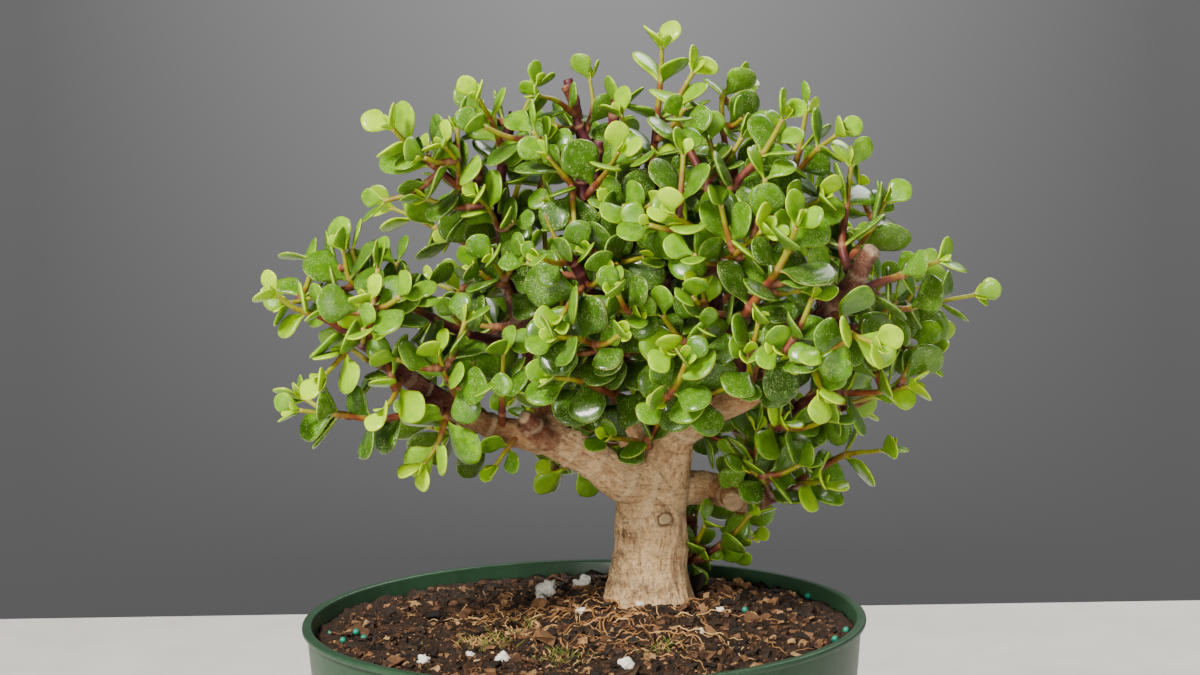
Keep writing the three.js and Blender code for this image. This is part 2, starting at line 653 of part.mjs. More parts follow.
// A leaf's rim from its right to its left, then its thickest points below and above.
function leafPoints(pose, room) {
  const reach = pose.length + room;
  const half = (pose.length * LEAF_WIDTH * pose.broad) / 2 + room;
  const rise = (pose.length * LEAF_THICKNESS) / 2 + room;
  const right = pose.length < SMALL_LEAF ? PLAIN_RIM : FULL_RIM;
  const left = right.map(([share, side]) => [share, -side]).reverse();
  const place = (share, side, lift) => {
    const bend = (pose.cup * side * side - pose.droop * share * share) * pose.length;
    return pose.root.clone()
      .addScaledVector(pose.direction, share * reach)
      .addScaledVector(pose.across, side * half)
      .addScaledVector(pose.face, bend + lift);
  };
  const rim = [...right, [1, 0], ...left].map(([share, side]) => place(share, side, 0));
  return { rim, under: place(THICKEST, 0, -rise), over: place(THICKEST, 0, rise) };
}

// A leaf's faces as two fans, between neck corners and rim points given by their numbers.
function leafFaces(neck, rim, under, over) {
  const [lowLeft, lowRight, highRight, highLeft] = neck;
  const below = [lowLeft, lowRight, ...rim];
  const above = [highRight, highLeft, ...[...rim].reverse()];
  const fan = (around, tip) => around.flatMap((point, i) => (
    [point, around[(i + 1) % around.length], tip]));
  return [
    ...fan(below, under),
    ...fan(above, over),
    lowRight, highRight, rim[0],
    highLeft, lowLeft, rim[rim.length - 1],
  ];
}

// A leaf alone with its neck closed, to try where it fits.
function wholeLeaf(pose, room) {
  const { rim, under, over } = leafPoints(pose, room);
  const points = [...pose.neck, ...rim, under, over];
  const last = points.length - 1;
  const rimNumbers = rim.map((_, i) => 4 + i);
  const faces = leafFaces([0, 1, 2, 3], rimNumbers, last - 1, last);
  return solidFrom(points, [...faces, 0, 2, 1, 0, 3, 2]);
}

// The same without its neck, which may touch the leaf beside it.
function bladeOnly(pose, room) {
  const { rim, under, over } = leafPoints(pose, room);
  const count = rim.length;
  const faces = rim.flatMap((_, i) => {
    const next = (i + 1) % count;
    return [i, next, count, next, i, count + 1];
  });
  return solidFrom([...rim, under, over], faces);
}

// A stem with its leaves as one closed surface: square rings, with leaves out of their sides.
function leafyStem(stem, seed, poses) {
  const frame = stemFrame(stem);
  const slots = leafSlots(stem, seed);
  const turn = slots.length ? slots[0].turn : 0;
  const bareEnd = slots.length ? stem.bare : 1;
  const bareSteps = Math.max(1, Math.round((frame(0).length * bareEnd) / BARE_STEP));
  const points = [];
  const faces = [];
  const rings = [];
  const addRing = (corners) => {
    rings.push(points.length);
    points.push(...corners);
  };
  const addSide = (side) => {
    const [low, high] = rings.slice(-2);
    const next = (side + 1) % 4;
    faces.push(low + side, low + next, high + next, low + side, high + next, high + side);
  };
  const addSides = (sides) => sides.forEach(addSide);
  const addLeaf = (side, pose) => {
    const { rim, under, over } = leafPoints(pose, 0);
    const [low, high] = rings.slice(-2);
    const next = (side + 1) % 4;
    const first = points.length;
    points.push(...rim, under, over);
    const rimNumbers = rim.map((_, i) => first + i);
    const neck = [low + side, low + next, high + next, high + side];
    faces.push(...leafFaces(neck, rimNumbers, first + rim.length, first + rim.length + 1));
  };

  for (let i = 0; i < bareSteps + (slots.length ? 0 : 1); i += 1) {
    addRing(ring(frame((bareEnd * i) / bareSteps), turn, 0));
    if (i) addSides([0, 1, 2, 3]);
  }
  for (let first = 0; first < slots.length; first += 2) {
    const { share, pair } = slots[first];
    const [lower, upper] = bandAt(frame(share), turn, share);
    addRing(lower);
    addSides([0, 1, 2, 3]);
    addRing(upper);
    for (const side of [0, 1, 2, 3]) {
      const pose = poses.find((grown) => grown.pair === pair && grown.side === side);
      if (pose) addLeaf(side, pose);
      else addSide(side);
    }
  }
  const end = rings[rings.length - 1];
  faces.push(0, 2, 1, 0, 3, 2, end, end + 1, end + 2, end, end + 2, end + 3);
  return solidFrom(points, faces);
}

function boxesMeet(a, b) {
  return [0, 1, 2].every((axis) => a.min[axis] <= b.max[axis] && b.min[axis] <= a.max[axis]);
}

function obstacle(solid) {
  return { solid, box: solid.boundingBox() };
}

function isClear(solid, obstacles) {
  const box = solid.boundingBox();
  return obstacles.every((other) => (
    !boxesMeet(box, other.box) || solid.intersect(other.solid).isEmpty()));
}

// Radius of the pot's inside at a height.
function innerRadius(height) {
  return RIM_RADIUS - LIP_OVERHANG - WALL - (POT_HEIGHT - height) * Math.tan(WALL_LEAN);
}

// The pot: base, leaning wall and rolled lip turned as one, with drainage holes in the base.
function potSolid() {
  const wallTop = RIM_RADIUS - LIP_OVERHANG;
  const lipUnder = POT_HEIGHT - LIP_DEPTH;
  const baseRadius = wallTop - lipUnder * Math.tan(WALL_LEAN);
  const profile = [
    [0, 0],
    [baseRadius - BASE_EDGE, 0],
    [baseRadius, BASE_EDGE],
    [wallTop, lipUnder],
    [RIM_RADIUS, lipUnder],
    [RIM_RADIUS, POT_HEIGHT - LIP_EDGE],
    [RIM_RADIUS - LIP_EDGE, POT_HEIGHT],
    [wallTop - WALL, POT_HEIGHT],
    [innerRadius(POT_FLOOR), POT_FLOOR],
    [0, POT_FLOOR],
  ];
  const points = profile.map(([radius, height]) => new THREE.Vector2(radius, height));
  const shell = solidOf(new THREE.LatheGeometry(points, POT_SIDES).rotateX(QUARTER));
  const holes = Array.from({ length: DRAIN_HOLES }, (_, i) => {
    const angle = (2 * Math.PI * (i + 0.5)) / DRAIN_HOLES;
    const place = [DRAIN_CIRCLE * Math.cos(angle), DRAIN_CIRCLE * Math.sin(angle), POT_FLOOR / 2];
    const drill = new THREE.CylinderGeometry(
      DRAIN_RADIUS, DRAIN_RADIUS, 3 * POT_FLOOR, DRAIN_SIDES);
    return solidOf(drill.rotateX(QUARTER).translate(...place));
  });
  return holes.reduce((cut, hole) => cut.subtract(hole), shell);
}

// How high the soil lies at a place seen from above.
function soilHeight(x, y) {
  const [trunkX, trunkY] = LIMBS.trunk[2];
  const near = Math.min(1, Math.hypot(x - trunkX, y - trunkY) / SOIL_HEAP_REACH);
  const heap = SOIL_HEAP * (0.5 + 0.5 * Math.cos(Math.PI * near));
  const waveX = Math.sin(x / SOIL_WAVE_X.length + SOIL_WAVE_X.shift);
  const waveY = Math.cos(y / SOIL_WAVE_Y.length + SOIL_WAVE_Y.shift);
  return POT_HEIGHT - SOIL_BELOW_LIP + heap + SOIL_LUMP * waveX * waveY;
}

// The soil fills the pot, its top is moved ring by ring to its height, and the trunk stands in it.
function soilSolid(roomyTrunk) {
  const level = POT_HEIGHT - SOIL_BELOW_LIP;
  const bottom = POT_FLOOR + SEAT;
  const edge = innerRadius(level) - SEAT;
  const profile = [
    new THREE.Vector2(0, bottom),
    new THREE.Vector2(innerRadius(bottom) - SEAT, bottom),
    ...SOIL_RINGS.map((share) => new THREE.Vector2(edge * share, level)),
    new THREE.Vector2(0, level),
  ];
  const heap = new THREE.LatheGeometry(profile, POT_SIDES).rotateX(QUARTER);
  const positions = heap.getAttribute('position');
  for (let i = 0; i < positions.count; i += 1) {
    const x = positions.getX(i);
    const y = positions.getY(i);
    const onTop = positions.getZ(i) > level - 1;
    const onEdge = Math.hypot(x, y) > edge - 1;
    if (onTop && !onEdge) positions.setZ(i, soilHeight(x, y));
  }
  return solidOf(heap).subtract(roomyTrunk);
}

const sprays = Object.entries(SPRAYS).map(([name, stems], i) => (
  { name, stems, seeds: stems.map((_, k) => 1 + i * 8 + k), poses: stems.map(() => []) }));
const wood = woodSolid(0);
const roomyWood = woodSolid(SEAT);
const pot = potSolid();
const soil = soilSolid(roomyWood);
const fixed = [wood, soil, pot].map(obstacle);
for (const spray of sprays) {
  spray.bare = obstacle(joined(spray.stems.map((stem, k) => leafyStem(stem, spray.seeds[k], []))));
  spray.leaves = [];
  spray.blades = [];
}

// Each leaf takes the first of its ways that is clear of all that grows there already.
for (const spray of sprays) {
  const others = sprays.filter((other) => other !== spray);
  const standing = [...fixed, ...others.map((other) => other.bare)];
  const grown = others.flatMap((other) => other.leaves);
  spray.stems.forEach((stem, k) => {
    const frame = stemFrame(stem);
    for (const slot of leafSlots(stem, spray.seeds[k])) {
      const pose = leafPoses(slot, frame(slot.share)).find((tried) => {
        const whole = wholeLeaf(tried, LEAF_ROOM);
        const blade = bladeOnly(tried, LEAF_ROOM);
        return isClear(whole, standing) && isClear(whole, grown)
          && isClear(blade, spray.blades) && isClear(blade, [spray.bare]);
      });
      if (pose) {
        spray.poses[k].push(pose);
        spray.leaves.push(obstacle(wholeLeaf(pose, 0)));
        spray.blades.push(obstacle(bladeOnly(pose, 0)));
      }
    }
  });
}

const plant = new THREE.Group();
plant.add(meshOf('pot', pot, COLOUR.pot));
plant.add(meshOf('soil', soil, COLOUR.soil));
plant.add(meshOf('trunk_and_limbs', wood, COLOUR.bark));
for (const { name, stems, seeds, poses } of sprays) {
  const whole = joined(stems.map((stem, k) => leafyStem(stem, seeds[k], poses[k])));
  plant.add(meshOf(`spray_${name}`, largest(whole.subtract(roomyWood)), COLOUR.leaf));
}

export default plant;
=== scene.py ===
"""The looks of a dwarf jade in its nursery pot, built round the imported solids.

Places are in millimetres in the part's frame until a piece is made, which is in metres. The stems
and leaves repeat the rule that grew the solids, so that each fine leaf stands where its solid does.
"""

import math
from types import SimpleNamespace

import bmesh
import bpy
import numpy as np
from mathutils import Matrix, Vector, noise
from mathutils.kdtree import KDTree


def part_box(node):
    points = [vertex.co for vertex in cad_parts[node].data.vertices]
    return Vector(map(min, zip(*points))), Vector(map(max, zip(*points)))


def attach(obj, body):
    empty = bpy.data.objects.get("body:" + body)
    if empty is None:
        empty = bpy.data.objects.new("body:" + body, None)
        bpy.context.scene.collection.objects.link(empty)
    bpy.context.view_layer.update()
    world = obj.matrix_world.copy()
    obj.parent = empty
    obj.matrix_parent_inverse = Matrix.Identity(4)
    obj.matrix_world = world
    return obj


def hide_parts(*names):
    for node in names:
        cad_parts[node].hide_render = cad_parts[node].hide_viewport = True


MM = 0.001
UP = np.array([0.0, 0.0, 1.0])
QUARTER = math.pi / 2

# Draws: each follows from the one before by this factor and step, within this range.
DRAW_FACTOR = 1664525
DRAW_STEP = 1013904223
DRAW_RANGE = 2**32

# Camera: where the photograph was taken from, and its frame in pixels.
CAMERA_PLACE = (7.3, -975.5, 359.9)
CAMERA_PITCH = math.radians(6.95)
CAMERA_ROLL = math.radians(0.9)
CAMERA_FOCAL = 82.6
CAMERA_SENSOR = 36.0
CAMERA_CLIP = (0.05, 50)
PHOTO_WIDTH = 1200
PHOTO_HEIGHT = 675

# Floor: it ends a little behind the pot.
FLOOR_FRONT = -2.2
FLOOR_BACK = 0.635
FLOOR_HALF = 2.4
WALL_FOOT = (0.105, 0.105, 0.107)
WALL_EDGE = (0.155, 0.155, 0.157)
WALL_LIT = (0.36, 0.36, 0.365)
ROOM_DARK = (0.035, 0.035, 0.036)
CLOTH_SHADE = (0.6, 0.57, 0.53)
CLOTH_PALE = (0.66, 0.63, 0.59)

# Soft boxes, in metres: place, size, power and colour.
LIGHTS = {
    "key": ((-0.75, -1.05, 1.35), (0.4, 0.4), 72, (1, 0.97, 0.9)),
    "fill": ((1.5, -1.1, 0.7), (0.8, 0.8), 10, (1, 1, 1)),
    "front": ((-0.5, -2.0, 0.45), (0.6, 0.5), 26, (1, 0.97, 0.92)),
    "back": ((0.6, 0.9, 1.35), (0.8, 0.8), 24, (1, 1, 1)),
}
LIGHTS_AIM = (0.02, 0, 0.24)

# Pot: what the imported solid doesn't say itself.
WALL = 2.0
LIP_DEPTH = 2.2
LIP_OVERHANG = 1.5
LIP_ROUND = 0.75
LIP_GROOVE = 0.35
GROOVE_ENDS = (1.6, 0.4)  # the groove's two edges lie so far under the lip
WALL_LEAN = math.radians(5.5)
WALL_SHARES = (0.15, 0.35, 0.55, 0.75, 0.9)
WALL_INSIDE = (1.2, 12, 6)  # the wall's inner points: how far under the rim, down to where, how many
POT_FLOOR = 2.5
POT_HUB = 20  # the profile starts and ends so far from the axis, and is closed from there
FLOOR_ROUND = 4
FLOOR_CORNER = 6  # the wall's radius at this height is where the floor's rounding starts
FOOT_ROUND = 1.2
ARC_STEPS = 5
FOOT_RING = (14, 12)  # the foot ring's inner edge, in from the wall, above and below
DRAIN_HOLES = 6
DRAIN_RADIUS = 4.5
DRAIN_CIRCLE = 68
DRILL_ENDS = (-5, 8)
DRILL_SIDES = 32
POT_SIDES = 192
CRISP_ANGLE = math.radians(40)

# Soil: a heap under the trunk, with lumps.
SOIL_BELOW_LIP = 5.5
SOIL_HEAP = 7.5
SOIL_HEAP_REACH = 78
SOIL_LUMPS = ((1.5, 9, 3), (2.0, 4.2, 5), (1.1, 1.6, 9))  # their rise, size and level of the noise
SOIL_GAP = 0.2  # between the soil and the pot
TRUNK_FOOT = (24, 20)

# Leaves and stems, as the solids have them.
LEAF_WIDTH = 0.85
LEAF_THICKNESS = 0.15
PAIR_SPACING = 13.3
PAIR_SPREAD = 62
TIP_SPREAD = (30, 46)
TIP_SHARE = (0.62, 0.86)
FACE_UP = 0.5
FACE_OUT = 1
CROWN_MIDDLE = (24, 20)
CROWN_CORE = 50
SPREAD_RANGE = (-8, 8)
LENGTH_RANGE = (0.88, 1.12)
BROAD_RANGE = (0.92, 1.08)
CUP_RANGE = (-0.02, 0.1)
DROOP_RANGE = (0, 0.12)
ROLL_RANGE = (-0.25, 0.25)
SHRINKS = (1, 0.84, 0.7)
OPENINGS = (0, -16, 16, -30)
SWINGS = (0, 14, -14, 28, -28)
SLOPE_STEP = 0.01
LENGTH_STEPS = 200  # a curve's length is measured in so many parts
SPRAY_SEEDS = 8  # each spray has so many seeds to itself
SAME_PLACE = 0.08  # a tip this near to a vertex of the solid is that leaf's

# Fine leaves.
LEAF_STATIONS = 12
LEAF_CORNERS = 12
LEAF_BLUNTNESS = 0.85  # 1 is an elliptic section, less is blunter at the margin
PETIOLE = 0.13  # half width at the stem, of the full half width
BROADEST = 1.45  # power that puts the broadest place past the middle
BLUNT_END = 0.45  # how much blunter a leaf grows towards its end
BASE_DEPTH = 0.5  # half thickness at the stem, of the thickest
THICKEST = 0.5  # the share of the length from which a leaf has its full thickness
END_ROUND = 7  # power that keeps a leaf thick up to its end
UPPER_RISE = 0.95  # the upper face is a little flatter than the lower one
PATTERN_SHIFT = 1000  # each leaf shows its own part of the pattern

# Colour ages of leaves, from 0, just opened, to 1, old; deep in the crown and on the inner twigs the age
# also holds painted shade.
AGE_MIDDLE = np.array((24, 20, 255))
CROWN_REACH = np.array((130, 110, 95))  # from there to the crown's outside, along each axis
AGE_BY_PAIR = 0.24
# Leaves deeper in the crown are older, and this darkening also paints the shade inside the crown.
AGE_BY_DEPTH_AND_SHADE = 0.5
AGE_BY_TINT = 0.24
# A resting stem's leaves are darker; on the twigs inside the crown the same darkening is painted shade.
AGE_BY_REST_AND_SHADE = 0.42
REST_TURN = 1.7  # with the two below, this spreads the stems between growth and rest
REST_SPREAD = 2.2
REST_LEAST = 0.55
YOUNG_AGES = (0.0, 0.16)

# Fine stems.
STEM_STEP = 1.2
STEM_FEWEST = 4
STEM_CORNERS = 9
STEM_FULLNESS = 0.86  # of the radius to the solid's corners
NODE_SWELL = 0.24
NODE_REACH = 1.3
RING_BAND = 0.55
OLD_NODE_SPACING = 11.5
OLD_NODE_VARIES = (0.8, 1.2)
OLD_NODE_FIRST = 0.6
CUT_DISH = 0.3  # a cut end closes so far back, of its last step
CUT_FACE = 0.72  # its face, of the radius there
CUT_CLEAR = 5  # a cut end has no ring near it
STEM_AGE = (0.42, 0.4, 1.1)  # the colour age at a radius, what each millimetre more adds, that radius
CUT_AGE = (0.3, 0.3, 1.0)
STEM_SEED = 7000  # added to a stem's own seed for what its leaves don't draw
BUD_SEED = 3000
STUB_SEED = 500

# The smallest pairs: the buds at the tips, and the pairs in the angles of leaves.
BUD_SPREAD = (14, 32)
BUD_LENGTH = (0.26, 0.42)  # of the stem's full leaf
BUD_BROAD = (0.85, 1.05)
BUD_CUP = 0.12
BUD_DROOP = -0.05
AXIL_SHARE = 0.2  # of the leaves have a small pair in their angle
AXIL_ROOM = 0.6
AXIL_LEAN = (0.7, 1.1)
AXIL_LENGTH = (4.2, 8.5)
AXIL_OPEN = (0.8, 1.5)
AXIL_UP = 0.3
AXIL_OUT = 0.6  # a pair starts so far out from the stem's middle, of its radius
AXIL_ALONG = 0.8
AXIL_STRAIGHT = 0.1  # below this a pair leans along the stem, and opens to the stem's own side
AXIL_VARIES = (0.85, 1.15)
AXIL_BROAD = (0.85, 1.1)
AXIL_CUP = 0.1

# What the scene adds between the leaves of the solids.
SAMPLE_SHARES = (0.3, 0.5, 0.7, 0.88, 1.0)
SAMPLE_SIDES = (-0.8, -0.27, 0.27, 0.8)
SAMPLES = len(SAMPLE_SHARES) * len(SAMPLE_SIDES)
SAMPLE_LAST = 0.97
LEAF_ROOM = 2.2  # a twig's leaf stays so far from all that stood there before
SMALL_ROOM = 1.3  # and so far from the twig's other leaves
STEM_ROOM = 0.7  # of the stem's radius at its root
NEAR = 24
CROWD_MOST = 6000
TWIGS = 225
TWIG_TRIES = 5200
TWIG_LENGTH = (13, 24)
TWIG_LEAF = (15, 18.5)
TWIG_STEM = (1.5, 0.95)
TWIG_BARE = 0.28
TWIG_ALONG = (0.15, 0.95)  # where on the limb or stem a twig starts
TWIG_TURNS = ((-1, 1), (-1, 1), (-0.5, 1))  # its heading is drawn along each axis
TWIG_OUTWARD = 0.5
TWIG_UP = 0.2
TWIG_BEND = 0.35
TWIG_ROOM = 1.6  # a new twig needs so much room, from this share of its length on
TWIG_ROOM_FROM = 0.3
TWIG_KEEPS = 1.0
TWIG_KEEPS_FROM = 0.1
TWIG_FEWEST = 3  # leaves, or it is left off
CROWN_HEART = np.array((24, 20, 225))
WITHIN = math.cos(math.radians(16))  # a leaf of the solids so near to a twig's heading is compared
INSIDE = 0.84  # a twig ends within so much of that leaf's distance from the heart
OPEN_ACROSS = (-70, 48)  # no twig ends here, so that the left limb and the fork stay in sight
OPEN_DEPTH = 14
OPEN_HEIGHT = 222
OPEN_SLOPE = 0.25
STUB_SIDE = 9  # twigs keep so far off a stub, to either side, above and below, as seen from the front
STUB_BELOW = 16
TWIG_FROM_LEAF = 19  # a twig's tip stays this near to a leaf of the solids
TWIG_LOWEST = 150
TWIGS_IN_PIECE = 20
TWIG_BUDS = 0.4  # of the twigs have the smallest pair at their tip
# Painted shade: the leaves of the twigs inside the crown are darkened as a resting stem's are.
TWIG_PAINTED_SHADE = 1.0  # twigs inside the crown are in shade, with few lime leaves
STEM_PARTS = 4  # a stem is kept clear in so many groups of places
LIMB_PARTS = 10
SPRAY_DRAWS = 99
TWIG_DRAWS = 123

# Wood: its skin, its rings, and the scar of a pruned branch on the trunk's front.
WOOD_STEP = 1.5
WOOD_CORNERS = 24
WOOD_VOXEL = 0.8
WOOD_FEWEST = 8
WOOD_ENDS = (0.5, 0.4)  # how far a limb's first and last ring stand out, of its radius there
WOOD_END_FACE = 0.6
CREASE_SOFTNESS = 0.5
CREASE_ROUNDS = 6
RING_SEED = 40
RING_FIRST = (6, 12)
RING_SPACING = (7, 15)
RING_WIDTH = 0.75
RING_RISE = 0.4
LIMB_LONGEST = 220
GRAIN_STRETCH = 0.14
GRAIN_SIZE = 3.2
WRINKLES = ((1.0, 1.3), (0.5, 3.1))  # their height, and how close they lie
WRINKLE_RISE = 0.05
LUMP_RISE = 0.05
LUMP_SIZE = 9.0
CRACK_RISE = 0.9
CRACK_SIZE = 1.9
CUT_PALE = 0.45  # how pale the cut face of a knob is, and how far back over its edge that goes
CUT_EDGE = 0.4
SCAR_PLACE = np.array((30.2, 9.0, 172.8))
SCAR_SHAPE = (1, 2.2, 0.85)
SCAR_WANDER = 0.7  # how uneven its outline is
SCAR_WANDER_SIZE = 2.4
SCAR_FACE = 2.0
SCAR_EDGE = 0.6
SCAR_COLLAR = 4.0
COLLAR_WIDTH = 0.8
GROOVE_OUT = 0.7
GROOVE_WIDTH = 0.5
SCAR_RISES = (1.0, -0.8, 0.3)  # of the collar, the groove and the face
ROUGH_PLACES = (
    (np.array((13, 12, 166)), 8), (np.array((11, 18, 152)), 8),
    (np.array((19, 6, 148)), 6), (np.array((37, 12, 200)), 5),
)
ROUGH_LEAST = 0.65
ROUGH_SIZE = 3.5
TAN_HEIGHT = 212  # thick wood above is brown rather than tan
TAN_FADE = 26  # over so much height
TAN_LOSS = 0.55
FOOT_HEIGHT = 141
FOOT_FLARE = 2.6
FOOT_FADE = 7.0
FOOT_LOBES = (0.55, 0.45)
FOOT_LOBE_TURNS = 1.6
FOOT_LOBE_LEVEL = 2.0

# Soil: how fine its top is, and what lies on it. Pixels are those of the photograph.
SOIL_RINGS = 84
SOIL_SIDES = 260
CHIPS = {  # how many, their lengths, how thick they are of their width, a seed, and how far they stand out
    "soil_crumbs": (8200, (0.7, 5.0), (0.4, 0.95), 21, 0.3),
    "bark_chips": (160, (5, 15), (0.12, 0.35), 22, 0.9),
}
SHARD = np.array([
    (-1, -0.7, -1), (0.8, -1, -1), (1, 0.6, -1), (-0.7, 1, -1),
    (-0.8, -0.6, 1), (0.9, -0.7, 1), (0.7, 0.8, 1), (-1, 0.5, 1),
])
SHARD_FACES = [(3, 2, 1, 0), (4, 5, 6, 7), (0, 1, 5, 4), (1, 2, 6, 5), (2, 3, 7, 6), (3, 0, 4, 7)]
CHIP_SHORTNESS = 2.2  # power that makes most of them short
CHIP_FROM_WALL = 5
CHIP_FROM_TRUNK = 15
CHIP_BREADTH = (0.35, 0.85)
CHIP_VARIES = (0.6, 1.1)
CHIP_TILTS = (0.35, 0.3)
ROOTS = 130
ROOT_SEED = 31
ROOT_HEADING = (math.radians(225), 0.95)
ROOT_AWAY = (12, 58)
ROOT_TURN = 1.3
ROOT_LIFT = (0.2, 1.6)
ROOT_STEPS = (8, 30)
ROOT_STEP = 1.7
ROOT_WANDER = 0.34
ROOT_SUNK = 0.1
ROOT_FROM_WALL = 4
ROOT_THICK = (0.14, 0.42)  # the least radius, and how much more the thickest has
ROOT_THINNESS = 2.5  # power that makes most of them thin
ROOT_TAPER = 0.45
ROOT_CORNERS = 5
PIXEL = 0.352  # millimetres that a pixel covers at the soil
SIGHT_ROUNDS = 6  # how often a line of sight is brought nearer to the uneven soil
PERLITE_LOOK = ((1, 0.9, 0.9), 0.7, 0.3125, 3)  # its squash, roughness, how far it is raised, and detail
PERLITE_SIZE = 0.8  # radius, of the width in the photograph
PERLITE = (
    (548, 597, 14), (582, 586, 11), (541, 603, 7), (582, 618, 7), (650, 597, 8), (721, 619, 6),
    (503, 663, 9), (626, 668, 10), (640, 606, 5), (424, 664, 8), (700, 640, 5), (470, 655, 5),
)
PRILLS = (
    (331, 634), (356, 634), (364, 640), (343, 643), (808, 599), (745, 611), (835, 643), (846, 632),
)
PRILL_LOOK = ((1, 1, 1), 0.05, 0.7, 2)
PRILL_RADIUS = 1.25
PEBBLE_LUMPS = (1.7, 5.3)  # how close, and how far each pebble's are moved from the last one's
MOSS = ((485, 645, 5.0, 150), (560, 655, 4.0, 90), (665, 650, 4.0, 60), (520, 632, 4.0, 40))
MOSS_SEED = 51
MOSS_SUNK = 0.3
MOSS_LEAN = 0.6
MOSS_BEND = 0.8
MOSS_TALL = (1.2, 3.4)
MOSS_RADII = (0.3, 0.24, 0.08)
MOSS_CORNERS = 4

# Colours, as red, green and blue in light.
LIME = (0.4, 0.62, 0.0)
YELLOW_GREEN = (0.21, 0.42, 0.0)
MIDDLE_GREEN = (0.07, 0.19, 0.0)
DEEP_GREEN = (0.024, 0.07, 0.001)
UNDER_GREEN = (0.13, 0.26, 0.02)
SPECK = (0.36, 0.46, 0.16)
EDGE_YELLOW = (0.75, 0.78, 0.0)
EDGE_LIME = (0.46, 0.62, 0.01)
EDGE_PALE = (0.3, 0.42, 0.06)
EDGE_RED = (0.42, 0.16, 0.05)
SCAR_TAN = (0.5, 0.36, 0.2)
STEM_OLIVE = (0.24, 0.26, 0.0)
STEM_RUST = (0.2, 0.05, 0.006)
STEM_MAROON = (0.07, 0.007, 0.012)
STEM_PURPLE = (0.055, 0.01, 0.018)
STEM_BLOOM = (0.16, 0.05, 0.05)
STEM_RING = (0.42, 0.22, 0.1)
CUT_TAN = (0.5, 0.32, 0.17)
WOOD_PURPLE = (0.11, 0.018, 0.02)
WOOD_BROWN = (0.24, 0.085, 0.033)
WOOD_TAN = (0.6, 0.32, 0.13)
WOOD_CREAM = (0.95, 0.62, 0.31)
WOOD_GREY = (0.5, 0.34, 0.21)
WOOD_RUST = (0.36, 0.15, 0.05)
WOOD_DARK = (0.1, 0.045, 0.02)
WOOD_PALE = (0.98, 0.76, 0.47)
WOOD_CUT = (0.7, 0.52, 0.3)
SOIL_BLACK = (0.007, 0.005, 0.004)
SOIL_BROWN = (0.03, 0.016, 0.009)
SOIL_RUST = (0.09, 0.038, 0.016)
SOIL_TAN = (0.22, 0.11, 0.045)
SOIL_STRAW = (0.42, 0.25, 0.11)
ROOT_BROWN = (0.17, 0.07, 0.022)
ROOT_TAN = (0.34, 0.16, 0.055)
ROOT_STRAW = (0.58, 0.36, 0.15)
MOSS_DARK = (0.03, 0.045, 0.008)
MOSS_GREEN = (0.11, 0.15, 0.02)
PERLITE_GREY = (0.5, 0.46, 0.38)
PERLITE_WHITE = (0.86, 0.84, 0.78)
PRILL_DARK = (0.0, 0.12, 0.075)
PRILL_GREEN = (0.01, 0.27, 0.17)
POT_GREEN = (0.015, 0.042, 0.02)
POT_LIGHT = (0.022, 0.058, 0.029)
POT_DUST = (0.12, 0.15, 0.1)


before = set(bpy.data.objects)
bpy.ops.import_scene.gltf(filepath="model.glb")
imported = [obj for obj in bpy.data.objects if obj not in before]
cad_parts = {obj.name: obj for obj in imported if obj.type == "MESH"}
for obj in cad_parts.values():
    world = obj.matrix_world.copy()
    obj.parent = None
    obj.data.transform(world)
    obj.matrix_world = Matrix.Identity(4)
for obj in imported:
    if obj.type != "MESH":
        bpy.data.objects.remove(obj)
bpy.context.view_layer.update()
RIM_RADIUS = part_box("pot")[1].x / MM
RIM_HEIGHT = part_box("pot")[1].z / MM

